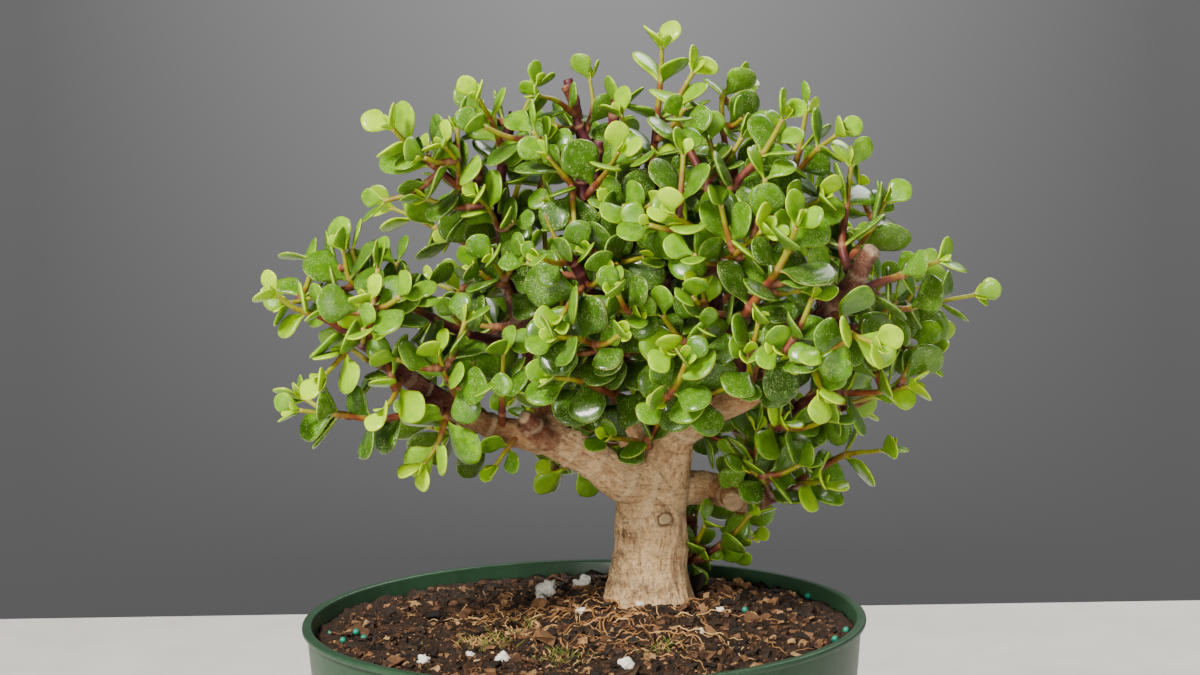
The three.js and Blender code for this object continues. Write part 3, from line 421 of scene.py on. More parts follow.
# The middle of each limb: x, y, z and the radius there.
LIMBS = {
    "trunk": [
        (24, 20, 103, 9), (24, 20, 126, 14.4), (24, 20, 140, 15.2), (24, 21, 152, 13.8),
        (25, 22, 163, 13.3), (25, 22, 174, 13), (27, 22, 183, 12.2), (30, 20, 194, 10.6),
        (32, 18, 203, 9.8), (37, 12, 210, 9),
    ],
    "right_limb": [
        (34, 16, 205, 8.5), (44, 4, 214, 7.2), (56, -8, 220, 6), (67, -20, 230, 5.4),
        (76, -30, 241, 5), (86, -37, 252, 4.6), (93, -41, 262, 4), (97, -44, 270, 3.2),
        (100, -46, 275, 3),
    ],
    "leader": [
        (30, 22, 193, 7.5), (25, 32, 204, 5), (26, 34, 221, 4.2), (28, 31, 240, 3.8),
        (30, 27, 255, 3.6), (28, 23, 274, 3.2), (26, 19, 289, 2.6), (26, 16, 299, 2.2),
    ],
    "front_limb": [
        (39, 10, 212, 6.5), (44, -4, 224, 4.4), (47, -16, 238, 3.6), (47, -26, 257, 3.2),
        (47, -31, 275, 3), (49, -34, 290, 2.7),
    ],
    "left_limb": [
        (26, 21, 183, 8.2), (14, 10, 188, 8), (4, 4, 196, 7), (-8, 0, 203, 6.4), (-16, -4, 206, 5.6),
        (-29, -9, 210, 4.6), (-42, -15, 217, 4.2), (-53, -21, 225, 3.8), (-62, -27, 233, 3.4),
        (-70, -32, 240, 3),
    ],
    "left_riser": [
        (-9, 0, 204, 5.2), (-13, 9, 214, 4.2), (-15, 15, 226, 4), (-20, 19, 240, 3.4),
        (-24, 21, 253, 3.1), (-26, 21, 267, 2.8), (-28, 19, 280, 2.5), (-28, 17, 291, 2.3),
    ],
    "low_limb": [
        (30, 23, 182, 7.2), (45, 34, 180, 6.2), (54, 40, 177, 5.4), (61, 44, 173, 4.4),
        (69, 46, 173, 3.8),
    ],
    "right_riser": [
        (44, 2, 218, 4.6), (51, 0, 238, 3.9), (60, -6, 259, 3.5), (66, -10, 275, 3.1),
    ],
    "rear_left": [
        (26, 26, 188, 6), (14, 52, 203, 4.6), (-1, 74, 220, 3.8), (-14, 89, 232, 3),
    ],
    "rear_right": [
        (32, 22, 196, 6), (50, 54, 210, 4.6), (70, 78, 226, 3.8), (89, 93, 236, 3),
    ],
}


def stem(path, root, tip, leaf, bare):
    """A stem's middle, its radius at root and tip, its full leaf's length and the share that is bare."""
    return SimpleNamespace(path=np.array(path, float), root=root, tip=tip, leaf=leaf, bare=bare)


# Each spray is a list of stems grown together.
SPRAYS = {
    "apex": [
        stem([(26, 17, 292), (28, 14, 310), (30, 12, 328), (31, 10, 343)], 1.9, 0.9, 17, 0.22),
        stem([(27, 15, 301), (20, 4, 308), (16, 0, 320)], 1.3, 0.8, 15, 0.3),
    ],
    "front_top": [
        stem([(49, -34, 288), (43, -30, 301), (37, -24, 314), (35, -18, 324), (41, -14, 335)],
             2, 0.9, 17, 0.2),
        stem([(48, -34, 289), (56, -41, 300), (64, -44, 309), (70, -47, 320)], 1.9, 0.9, 17, 0.25),
    ],
    "brown_top": [
        stem([(48, -33, 284), (55, -16, 298), (52, -6, 312), (52, 0, 326), (57, 2, 330)],
             1.7, 0.8, 15, 0.3),
    ],
    "back_twig": [
        stem([(28, 23, 275), (13, 24, 295), (2, 24, 313), (-1, 22, 323), (-4, 20, 330)], 2.5, 1.5, 0, 1),
        stem([(3, 24, 312), (6, 32, 322), (5, 36, 332)], 1.3, 0.8, 15, 0.2),
        stem([(0, 23, 319), (-7, 14, 325), (-13, 8, 327)], 1.3, 0.8, 14, 0.2),
    ],
    "upper_left_top": [
        stem([(-28, 18, 288), (-28, 17, 295), (-26, 14, 306), (-24, 12, 316), (-22, 11, 321)],
             2.3, 2.3, 0, 1),
        stem([(-26, 14, 305), (-29, 3, 316), (-34, -5, 327)], 1.5, 0.8, 16, 0.25),
        stem([(-26, 14, 303), (-18, 2, 310), (-11, -6, 313)], 1.3, 0.8, 15, 0.3),
        stem([(-25, 12, 313), (-19, 20, 321), (-15, 24, 330)], 1.4, 0.8, 16, 0.25),
    ],
    "upper_left_far": [
        stem([(-28, 19, 281), (-40, 6, 293), (-50, -2, 303), (-58, -8, 310), (-64, -12, 317)],
             2.2, 0.9, 17, 0.3),
        stem([(-42, 4, 295), (-42, -6, 304), (-46, -14, 311)], 1.3, 0.8, 15, 0.3),
    ],
    "rear_left_up": [
        stem([(-26, 21, 269), (-42, 42, 272), (-56, 54, 278), (-70, 60, 284)], 1.9, 0.9, 17, 0.25),
    ],
    "riser_front_high": [stem([(-28, 19, 276), (-30, 2, 285), (-35, -10, 293)], 1.4, 0.8, 16, 0.3)],
    "riser_front_low": [stem([(-24, 21, 251), (-26, 2, 261), (-30, -10, 270)], 1.5, 0.8, 17, 0.25)],
    "riser_right": [stem([(-27, 20, 273), (-20, 26, 284), (-12, 28, 294)], 1.4, 0.8, 17, 0.3)],
    "left_main": [
        stem([(-20, 18, 237), (-35, 4, 241), (-47, -6, 247), (-58, -14, 254), (-71, -20, 259),
              (-79, -24, 265), (-81, -26, 276)], 2.5, 0.9, 18, 0.25),
        stem([(-78, -24, 263), (-88, -32, 261), (-99, -36, 259)], 1.4, 0.8, 16, 0.25),
    ],
    "left_tip": [
        stem([(-68, -31, 238), (-78, -36, 247), (-87, -40, 254), (-96, -45, 258), (-102, -49, 263)],
             2.2, 0.8, 16, 0.3),
        stem([(-73, -34, 243), (-71, -42, 253), (-71, -48, 260)], 1.6, 0.8, 16, 0.3),
        stem([(-77, -36, 246), (-82, -46, 240), (-86, -52, 236)], 1.3, 0.8, 16, 0.3),
    ],
    "left_under": [stem([(-62, -28, 232), (-63, -44, 228), (-66, -52, 224)], 1.5, 0.8, 16, 0.3)],
    "low_left_twig": [
        stem([(-52, -22, 224), (-59, -34, 220), (-70, -42, 219), (-83, -48, 222), (-95, -52, 224)],
             1.9, 0.8, 15, 0.3),
    ],
    "left_hang": [
        stem([(-47, -17, 220), (-47, -32, 216), (-50, -36, 208), (-54, -40, 203)], 1.5, 0.8, 16, 0.3),
    ],
    "left_mid_up": [stem([(-40, -14, 216), (-45, -34, 230), (-48, -42, 241)], 1.5, 0.8, 16, 0.58)],
    "left_mid_high": [stem([(-28, -10, 210), (-27, -26, 226), (-26, -34, 240)], 1.6, 0.8, 16, 0.58)],
    "left_drop": [stem([(-22, -8, 208), (-26, -17, 204), (-30, -22, 199)], 1.3, 0.8, 12, 0.45)],
    "left_behind": [stem([(3, 6, 197), (-5, 28, 190), (-11, 42, 185)], 1.6, 0.8, 17, 0.3)],
    "high_stub": [
        stem([(29, 30, 237), (15, 8, 255), (4, -6, 275), (2, -11, 290), (2, -13, 301), (2, -14, 311)],
             3, 2.3, 0, 1),
        stem([(2, -11, 292), (-4, -18, 300), (-10, -22, 307)], 1.5, 0.8, 16, 0.25),
        stem([(2, -11, 291), (10, -24, 301), (15, -32, 309)], 1.5, 0.8, 16, 0.25),
        stem([(5, -5, 273), (13, -24, 270), (23, -36, 273)], 1.6, 0.8, 18, 0.2),
    ],
    "mid_trio": [stem([(28, 24, 270), (22, 0, 276), (16, -20, 285), (12, -28, 291)], 1.7, 0.8, 17, 0.3)],
    "middle_stub": [
        stem([(27, 33, 225), (15, 2, 243), (5, -20, 258), (-1, -29, 270), (-5, -33, 276)], 2.9, 2.1, 0, 1),
        stem([(-2, -30, 271), (-8, -42, 272), (-13, -50, 275)], 1.4, 0.8, 13, 0.25),
        stem([(3, -25, 263), (-2, -42, 259), (-6, -50, 254)], 1.5, 0.8, 17, 0.25),
        stem([(8, -14, 255), (13, -36, 255), (19, -48, 255)], 1.5, 0.8, 17, 0.25),
    ],
    "centre_long": [
        stem([(26, 33, 215), (20, 4, 229), (11, -26, 238), (1, -46, 246), (-8, -56, 248)],
             2.1, 0.9, 18, 0.25),
    ],
    "centre_low": [
        stem([(26, 32, 209), (18, 6, 217), (8, -20, 225), (-1, -38, 231), (-9, -46, 233)],
             2.1, 0.9, 17, 0.25),
    ],
    "centre_under": [stem([(29, 20, 196), (20, 2, 203), (10, -14, 207)], 1.7, 0.9, 16, 0.3)],
    "trunk_front": [stem([(44, -4, 223), (37, -30, 226), (28, -44, 224)], 1.8, 0.9, 18, 0.25)],
    "front_mid": [stem([(47, -16, 237), (40, -38, 241), (32, -50, 242)], 1.6, 0.9, 18, 0.25)],
    "front_left_up": [stem([(47, -31, 275), (40, -46, 283), (32, -54, 289)], 1.6, 0.9, 17, 0.25)],
    "front_right": [stem([(47, -30, 268), (54, -48, 275), (62, -58, 283)], 1.6, 0.9, 17, 0.25)],
    "foreground": [
        stem([(56, -8, 219), (56, -36, 242), (57, -48, 254), (64, -56, 265), (69, -62, 274),
              (73, -66, 285)], 2.7, 1.1, 18, 0.45),
    ],
    "front_small": [stem([(47, -23, 250), (44, -42, 255), (42, -50, 263)], 1.3, 0.8, 13, 0.25)],
    "front_low": [stem([(61, -14, 225), (59, -38, 232), (57, -52, 240)], 1.6, 0.9, 17, 0.25)],
    "mid_right_hang": [
        stem([(76, -29, 240), (73, -52, 240), (67, -62, 243)], 1.6, 0.9, 17, 0.25),
        stem([(74, -44, 240), (79, -56, 236), (81, -62, 230)], 1.4, 0.8, 17, 0.25),
    ],
    "right_up": [
        stem([(94, -42, 264), (91, -34, 275), (93, -28, 289), (95, -24, 302)], 2.1, 0.9, 18, 0.35),
        stem([(92, -37, 270), (101, -26, 279), (107, -20, 289)], 1.5, 0.8, 17, 0.25),
    ],
    "right_far": [
        stem([(90, -40, 258), (101, -34, 262), (113, -30, 265), (125, -26, 269)], 2.2, 0.9, 16, 0.25),
        stem([(99, -35, 261), (111, -20, 252), (123, -14, 253), (140, -8, 255)], 1.6, 0.8, 15, 0.25),
    ],
    "right_rear": [
        stem([(84, -36, 250), (100, 4, 242), (115, 24, 237), (128, 34, 236)], 1.9, 0.9, 17, 0.3),
    ],
    "right_front_low": [stem([(87, -38, 254), (90, -58, 249), (98, -68, 246)], 1.7, 0.9, 17, 0.25)],
    "riser_top": [
        stem([(65, -10, 272), (69, -10, 284), (73, -10, 293), (78, -2, 304), (82, 8, 320)],
             2.8, 0.9, 16, 0.4),
        stem([(73, -10, 293), (82, -18, 306), (90, -24, 313)], 1.5, 0.8, 16, 0.25),
        stem([(68, -10, 281), (76, -28, 287), (83, -38, 292)], 1.6, 0.8, 17, 0.25),
        stem([(68, -9, 279), (77, 6, 273), (88, 22, 269)], 1.5, 0.8, 17, 0.3),
    ],
    "riser_low": [stem([(57, -4, 252), (52, 20, 256), (45, 32, 261)], 1.7, 0.9, 17, 0.25)],
    "leader_right": [stem([(29, 27, 253), (38, 38, 264), (47, 46, 274)], 1.7, 0.9, 17, 0.25)],
    "leader_left": [stem([(28, 30, 246), (17, 44, 256), (9, 54, 263)], 1.7, 0.9, 17, 0.25)],
    "shelf": [
        stem([(52, 40, 179), (61, 46, 187), (69, 46, 195), (75, 40, 204), (83, 32, 212), (95, 22, 216)],
             3.4, 1.8, 0, 1),
        stem([(93, 23, 216), (107, 12, 218), (118, 4, 221)], 1.6, 0.8, 16, 0.15),
        stem([(84, 31, 212), (95, 46, 207), (105, 56, 206)], 1.5, 0.8, 16, 0.25),
        stem([(70, 45, 197), (69, 20, 204), (72, 4, 209)], 1.5, 0.8, 17, 0.25),
    ],
    "low_end": [
        stem([(67, 46, 173), (72, 46, 174), (82, 45, 180), (97, 40, 190), (111, 28, 194)],
             3.1, 0.8, 17, 0.55),
        stem([(71, 45, 174), (67, 20, 184), (61, 8, 191)], 1.6, 0.8, 17, 0.25),
        stem([(79, 45, 178), (82, 24, 183), (87, 8, 186)], 1.5, 0.8, 16, 0.25),
    ],
    "trunk_low": [
        stem([(30, 24, 155), (43, 46, 150), (53, 60, 150), (65, 72, 153)], 1.8, 0.8, 11, 0.25),
        stem([(41, 42, 150), (42, 51, 158), (43, 57, 167)], 1.2, 0.7, 11, 0.3),
        stem([(51, 57, 150), (57, 56, 159), (62, 55, 167)], 1.2, 0.7, 11, 0.3),
        stem([(38, 38, 151), (47, 36, 155), (56, 37, 159)], 1.2, 0.7, 11, 0.3),
    ],
    "rear_left_end": [
        stem([(-12, 87, 231), (-29, 99, 240), (-44, 106, 245), (-57, 110, 250)], 2.6, 0.9, 17, 0.3),
        stem([(-20, 93, 235), (-19, 100, 248), (-20, 104, 263)], 1.7, 0.9, 17, 0.2),
    ],
    "rear_left_low": [stem([(-8, 82, 225), (-17, 98, 213), (-27, 106, 205)], 1.7, 0.9, 17, 0.2)],
    "rear_left_back": [stem([(2, 72, 217), (1, 104, 219), (-1, 124, 226)], 1.7, 0.9, 17, 0.25)],
    "rear_left_under": [stem([(15, 50, 202), (7, 80, 190), (-3, 98, 183)], 1.7, 0.9, 17, 0.3)],
    "rear_right_end": [
        stem([(85, 91, 234), (105, 102, 242), (120, 106, 248), (133, 108, 253)], 2.6, 0.9, 17, 0.3),
        stem([(94, 96, 238), (93, 104, 254), (95, 106, 269)], 1.7, 0.9, 17, 0.2),
    ],
    "rear_right_low": [stem([(81, 87, 231), (92, 104, 217), (103, 110, 208)], 1.7, 0.9, 17, 0.25)],
    "rear_right_back": [stem([(64, 72, 221), (63, 106, 223), (63, 126, 232)], 1.7, 0.9, 17, 0.25)],
    "rear_right_under": [stem([(50, 54, 209), (59, 84, 193), (67, 104, 184)], 1.7, 0.9, 17, 0.3)],
    "rear_mid": [
        stem([(27, 27, 196), (25, 60, 219), (27, 76, 246), (31, 88, 262)], 3, 1.8, 0, 1),
        stem([(30, 86, 260), (34, 94, 277), (38, 96, 293)], 1.7, 0.9, 17, 0.2),
        stem([(27, 73, 242), (16, 92, 255), (8, 100, 270)], 1.7, 0.9, 17, 0.25),
        stem([(27, 71, 240), (43, 92, 251), (55, 104, 264)], 1.7, 0.9, 17, 0.25),
        stem([(26, 61, 232), (28, 100, 236), (30, 124, 244)], 1.6, 0.9, 17, 0.3),
    ],
    "rear_top": [
        stem([(27, 20, 283), (27, 36, 289), (22, 50, 297), (17, 60, 308)], 1.9, 0.8, 16, 0.35),
        stem([(27, 34, 288), (38, 52, 293), (47, 64, 304)], 1.5, 0.8, 16, 0.25),
    ],
    "riser_back": [
        stem([(-22, 20, 245), (-32, 50, 238), (-43, 72, 231), (-55, 84, 232)], 1.8, 0.9, 17, 0.3),
    ],
    "left_back": [
        stem([(-37, -12, 215), (-44, 24, 204), (-53, 48, 201), (-65, 60, 203)], 1.8, 0.9, 17, 0.3),
    ],
}

# Thick knobs where branches were cut or torn off: x, y, z and the radius there.
KNOBS = {
    "torn_stub": [(93, -37, 259, 2.8), (96, -39, 265, 2.7), (99, -40, 270, 2.5)],
    "left_knob": [(-13, -6, 207, 3.4), (-17, -11, 212, 3.2), (-20, -14, 215, 2.9)],
    "low_knob": [(52, 30, 179, 4.6), (55, 20, 179, 4.4), (55, 15, 178, 4.1)],
}
WOOD = {**LIMBS, **KNOBS}

# Cut stubs and a dead twig that stand among the leaves, as stems without leaves.
STUBS = {
    "grey_stub": stem([(4, 2, 292), (7, 2, 302), (8, 1, 311)], 2.3, 2.1, 0, 1),
    "left_stub": stem([(-36, 10, 283), (-36, 8, 293), (-35, 6, 302)], 2.1, 1.9, 0, 1),
    "back_stub": stem([(2, 30, 309), (0, 33, 321), (-3, 34, 332)], 2.3, 2.1, 0, 1),
    "small_stub": stem([(13, 22, 312), (14, 20, 322), (15, 19, 329)], 2.2, 2.0, 0, 1),
    "dead_twig": stem([(-5, -33, 275), (-8, -35, 281), (-11, -36, 288)], 0.9, 0.5, 0, 1),
}


# Numbers and vectors

def clamped(value):
    return min(1.0, max(0.0, value))


def hill(gap, width):
    """1 where there is no gap, and next to nothing at twice the width."""
    return math.exp(-(gap / width) ** 2)


def unit(vector):
    return vector / np.linalg.norm(vector)


def turned(vector, axis, angle):
    """A vector at a right angle to the axis, turned about it."""
    return vector * math.cos(angle) + np.cross(axis, vector) * math.sin(angle)


def lerp(least, most, share):
    return (1 - share) * least + share * most


def drawing(seed):
    """The same stream of draws for the same seed, each between the two ends that it is asked for."""
    state = seed

    def draw(ends):
        nonlocal state
        state = (state * DRAW_FACTOR + DRAW_STEP) % DRAW_RANGE
        return lerp(*ends, state / DRAW_RANGE)

    return draw


# Curves and stems

def curve_point(places, share):
    """A place on the smooth curve through these, at a share of the way from first to last."""
    last = len(places) - 1
    first = min(int(share * last), last - 1)
    rest = share * last - first
    start, end = places[first], places[first + 1]
    before = places[first - 1] if first else 2 * start - end
    after = places[first + 2] if first + 2 <= last else 2 * end - start
    slope_in, slope_out = (end - before) / 2, (after - start) / 2
    square = -3 * start + 3 * end - 2 * slope_in - slope_out
    cube = 2 * start - 2 * end + slope_in + slope_out
    return start + slope_in * rest + square * rest**2 + cube * rest**3


def curve_line(places, shares):
    return np.array([curve_point(places, share) for share in shares])


def curve_length(places):
    line = curve_line(places, np.arange(LENGTH_STEPS + 1) / LENGTH_STEPS)
    return float(np.linalg.norm(np.diff(line, axis=0), axis=1).sum())


def headings(line):
    """The direction of a line at each of its points."""
    alongs = np.gradient(line, axis=0)
    return alongs / np.linalg.norm(alongs, axis=1)[:, None]


def search_tree(places):
    """Finds the nearest of these places, and its number."""
    tree = KDTree(len(places))
    for number, place in enumerate(places):
        tree.insert(place, number)
    tree.balance()
    return tree


def stem_at(grown, share):
    """A stem's middle, directions and radius at a share of its length."""
    places = grown.path
    chord = np.abs(places[-1] - places[0])
    reference = np.eye(3)[int(np.argmin(chord))]
    before = curve_point(places, max(share - SLOPE_STEP, 0))
    along = unit(curve_point(places, min(share + SLOPE_STEP, 1)) - before)
    return SimpleNamespace(
        middle=curve_point(places, share),
        along=along,
        across=unit(np.cross(along, reference)),
        radius=lerp(grown.root, grown.tip, share),
    )


def leaf_slots(grown, seed):
    """Where the leaves of a stem grow, pair by pair, each with the draws that shape it."""
    if not grown.leaf:
        return []
    draw = drawing(seed)
    pairs = max(2, int(curve_length(grown.path) * (1 - grown.bare) / PAIR_SPACING + 0.5) + 1)
    turn = draw((0, math.pi))
    slots = []
    for pair in range(pairs):
        from_tip = pairs - 1 - pair
        share = grown.bare + (1 - grown.bare) * pair / (pairs - 1)
        for side in (0, 2):
            spread = TIP_SPREAD[from_tip] if from_tip < len(TIP_SPREAD) else PAIR_SPREAD
            full = TIP_SHARE[from_tip] if from_tip < len(TIP_SHARE) else 1
            slots.append(SimpleNamespace(
                share=share,
                from_tip=from_tip,
                side=side + pair % 2,
                turn=turn,
                spread=spread + draw(SPREAD_RANGE),
                length=grown.leaf * full * draw(LENGTH_RANGE),
                broad=draw(BROAD_RANGE),
                cup=draw(CUP_RANGE),
                droop=draw(DROOP_RANGE),
                roll=draw(ROLL_RANGE),
            ))
    return slots


def outward_at(place):
    """Level direction away from the middle of the crown, weaker near it."""
    outward = np.array([place[0] - CROWN_MIDDLE[0], place[1] - CROWN_MIDDLE[1], 0.0])
    return outward / max(np.linalg.norm(outward), CROWN_CORE)


def leaf_pose(slot, at, shrink, opened, swung):
    """One way that a slot's leaf may grow: shorter, opened from the stem or swung round it."""
    spread = math.radians(slot.spread + opened)
    facing = turned(at.across, at.along, slot.turn + slot.side * QUARTER)
    out = turned(at.across, at.along, slot.turn + slot.side * QUARTER + math.radians(swung))
    direction = unit(at.along * math.cos(spread) + out * math.sin(spread))
    face = at.along + UP * FACE_UP + outward_at(at.middle) * FACE_OUT
    face = turned(unit(face - direction * face.dot(direction)), direction, slot.roll)
    return SimpleNamespace(
        root=at.middle + facing * at.radius * math.sqrt(0.5),
        direction=direction,
        face=face,
        across=np.cross(face, direction),
        length=slot.length * shrink,
        broad=slot.broad,
        cup=slot.cup,
        droop=slot.droop,
        from_tip=slot.from_tip,
    )


def leaf_poses(slot, at):
    for shrink in SHRINKS:
        for opened in OPENINGS:
            for swung in SWINGS:
                yield leaf_pose(slot, at, shrink, opened, swung)


def leaf_tip(pose):
    return pose.root + (pose.direction - pose.face * pose.droop) * pose.length


# Fine leaves

def leaf_outline(share):
    """Half width of a leaf at a share of its length: a short petiole, then an egg with a blunt end."""
    blade = np.sin(math.pi * share**BROADEST) ** (1 - BLUNT_END * share)
    return np.sqrt(blade**2 + (PETIOLE * (1 - share)) ** 2)


def leaf_depth(share):
    """Half thickness of a leaf at a share of its length, of the thickest."""
    swell = np.sin(QUARTER * np.minimum(share / THICKEST, 1))
    return (BASE_DEPTH + (1 - BASE_DEPTH) * swell) * np.sqrt(1 - share**END_ROUND)


def tube_faces(rings, corners):
    """Faces of a tube of rings, seen from outside, and fans to the two points that close its ends."""
    edges = [(corner, (corner + 1) % corners) for corner in range(corners)]
    last = (rings - 1) * corners
    faces = []
    for low in range(0, last, corners):
        high = low + corners
        faces += [(low + this, low + other, high + other, high + this) for this, other in edges]
    start, end = rings * corners, rings * corners + 1
    for this, other in edges:
        faces += [(other, this, start), (last + this, last + other, end)]
    return faces


def leaf_template():
    """Shares along, across and through a fine leaf at each of its points, and its faces."""
    spaced = (1 - np.cos(math.pi * np.linspace(0, 1, LEAF_STATIONS + 1)[:-1])) / 2
    angles = 2 * math.pi * np.arange(LEAF_CORNERS) / LEAF_CORNERS
    side, through = (np.sign(wave) * np.abs(wave) ** LEAF_BLUNTNESS
                     for wave in (np.cos(angles), np.sin(angles)))
    return SimpleNamespace(
        share=np.append(np.repeat(spaced, LEAF_CORNERS), (0, 1)),
        side=np.append(np.tile(side, LEAF_STATIONS), (0, 0)),
        through=np.append(np.tile(through, LEAF_STATIONS), (0, 0)),
        faces=tube_faces(LEAF_STATIONS, LEAF_CORNERS),
    )


FINE = leaf_template()


def half_width(pose):
    return pose.length * LEAF_WIDTH * pose.broad / 2


def leaf_points(pose):
    """A fine leaf's points, and its points flat on its own face, in millimetres."""
    width = FINE.side * leaf_outline(FINE.share)
    half = half_width(pose)
    rise = pose.length * LEAF_THICKNESS / 2 * leaf_depth(FINE.share)
    lift = np.where(FINE.through > 0, UPPER_RISE, 1) * FINE.through * rise
    bend = (pose.cup * width**2 - pose.droop * FINE.share**2) * pose.length
    points = (pose.root
              + np.outer(FINE.share * pose.length, pose.direction)
              + np.outer(width * half, pose.across)
              + np.outer(bend + lift, pose.face))
    flat = np.stack([FINE.share * pose.length, width * half], axis=1)
    return points, flat


def leaf_inset(pose):
    """How far each point of a leaf lies in from its margin, in millimetres."""
    from_side = (1 - np.abs(FINE.side)) * (half_width(pose) * leaf_outline(FINE.share))
    from_tip = (1 - FINE.share) * pose.length
    return np.minimum(from_side, from_tip)


# Room between what grows

class Crowd:
    """All that grows already, as small groups of places, to keep what comes after clear of it."""

    def __init__(self):
        self.middles = np.zeros((CROWD_MOST, 3))
        self.groups = np.zeros((CROWD_MOST, SAMPLES, 3))
        self.rooms = np.zeros(CROWD_MOST)
        self.count = 0

    def add(self, places, room=0.0):
        self.middles[self.count] = places.mean(axis=0)
        self.groups[self.count] = places
        self.rooms[self.count] = room
        self.count += 1

    def is_clear(self, places, room):
        middle = places.mean(axis=0)
        gaps = np.linalg.norm(self.middles[:self.count] - middle, axis=1)
        near = np.nonzero(gaps < NEAR)[0]
        others = self.groups[near][:, :, None] - places
        nearest = np.linalg.norm(others, axis=3).min(axis=(1, 2)) if len(near) else np.ones(0)
        return bool((nearest > room + self.rooms[near]).all())


def leaf_samples(pose):
    """Places all over a leaf's middle surface."""
    places = []
    for share in SAMPLE_SHARES:
        width = float(leaf_outline(np.array(min(share, SAMPLE_LAST)))) * half_width(pose)
        for side in SAMPLE_SIDES:
            bend = (pose.cup * side**2 - pose.droop * share**2) * pose.length
            places.append(pose.root + pose.direction * share * pose.length
                          + pose.across * side * width + pose.face * bend)
    return np.array(places)


def stem_samples(path, first, last):
    """Places along a part of a stem, as many as a leaf has."""
    return curve_line(path, lerp(first, last, np.arange(SAMPLES) / (SAMPLES - 1)))


def add_line(crowd, path, parts, room):
    """Keeps what comes after clear of a stem or limb."""
    for part in range(parts):
        crowd.add(stem_samples(path, part / parts, (part + 1) / parts), room)


# Meshes

class Shape:
    """Points, faces and values of one piece, gathered from its parts in millimetres."""

    def __init__(self):
        self.points = []
        self.faces = []
        self.values = {}
        self.count = 0

    def add(self, points, faces, **values):
        """One part: its points, its faces by its own numbers, and values for each of its points."""
        self.points.append(points)
        self.faces.extend(tuple(corner + self.count for corner in face) for face in faces)
        for name, value in values.items():
            value = np.asarray(value, float)
            full = (len(points),) + value.shape[1:] if value.ndim else len(points)
            self.values.setdefault(name, []).append(np.broadcast_to(value, full))
        self.count += len(points)


def added(name, data):
    """A new object in the scene."""
    made = bpy.data.objects.new(name, data)
    bpy.context.scene.collection.objects.link(made)
    return made


def write_values(mesh, values):
    """Keeps a number or a direction for each point of a mesh, under a name that materials read."""
    for name, found in values.items():
        found = np.array(found, np.float32)
        kind, field = ("FLOAT", "value") if found.ndim == 1 else ("FLOAT_VECTOR", "vector")
        layer = mesh.attributes.new(name, kind, "POINT")
        layer.data.foreach_set(field, found.ravel())


def mesh_object(name, shape, material, smooth=True):
    mesh = bpy.data.meshes.new(name)
    points = np.concatenate(shape.points) * MM
    mesh.from_pydata(points.tolist(), [], shape.faces)
    write_values(mesh, {key: np.concatenate(parts) for key, parts in shape.values.items()})
    if smooth:
        mesh.shade_smooth()
    else:
        mesh.shade_flat()
    mesh.materials.append(material)
    return added(name, mesh)


def piece(name, shape, material, slot, *nodes, smooth=True):
    """A piece of the plant or pot in place of these nodes."""
    placed(mesh_object(name, shape, material, smooth), slot, *nodes)


def placed(made, slot, *nodes):
    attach(made, "root")
    if nodes:
        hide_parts(*nodes)


def settled(made):
    """An object's mesh with its modifiers worked in."""
    seen = made.evaluated_get(bpy.context.evaluated_depsgraph_get())
    mesh = bpy.data.meshes.new_from_object(seen)
    made.modifiers.clear()
    made.data = mesh


def tube(shape, line, radii, corners, **values):
    """A round tube along a line of points, with a radius, and other values, for each."""
    alongs = headings(line)
    across = np.cross(alongs[0], np.eye(3)[int(np.argmin(np.abs(alongs[0])))])
    angles = 2 * math.pi * np.arange(corners) / corners
    rings = []
    for middle, along, radius in zip(line, alongs, radii):
        across = unit(across - along * across.dot(along))
        other = np.cross(along, across)
        ring = np.outer(np.cos(angles), across) + np.outer(np.sin(angles), other)
        rings.append(middle + ring * radius)
    spread = {}
    for key, value in values.items():
        spread[key] = np.concatenate([np.repeat(value, corners), value[:1], value[-1:]])
    points = np.concatenate([*rings, line[:1], line[-1:]])
    shape.add(points, tube_faces(len(line), corners), **spread)


# Leaves and stems

def add_leaf(shape, pose, age, tint):
    points, flat = leaf_points(pose)
    shape.add(
        points, FINE.faces,
        age=age, tint=tint,
        inset=leaf_inset(pose),
        under=np.clip(-FINE.through, 0, 1),
        place=np.column_stack([flat, np.full(len(flat), PATTERN_SHIFT * tint)]),
    )


def leaf_age_and_shade(pose, tint, rest):
    """The colour age of a leaf, by its place on the stem and how deep in the crown it is; the darkening
    with depth stands both for older inner leaves and for painted shade.

    A stem that rests from growing has no lime leaves at its tip; the twigs inside the crown are given that
    rest as painted shade.
    """
    # deeper in the crown a leaf is older and darker: partly real age, partly painted shade
    depth_age_and_shade = 1 - min(1, float(np.linalg.norm((leaf_tip(pose) - AGE_MIDDLE) / CROWN_REACH)))
    age = AGE_BY_PAIR * pose.from_tip + AGE_BY_DEPTH_AND_SHADE * depth_age_and_shade + AGE_BY_TINT * (tint - 0.5)
    return clamped(age + AGE_BY_REST_AND_SHADE * rest)


def resting(grown):
    """From 0, in growth, to 1, at rest: the same for a stem whenever it is asked."""
    share = math.sin(grown.path.sum() * REST_TURN) * 0.5 + 0.5
    return clamped(share * REST_SPREAD - REST_LEAST)


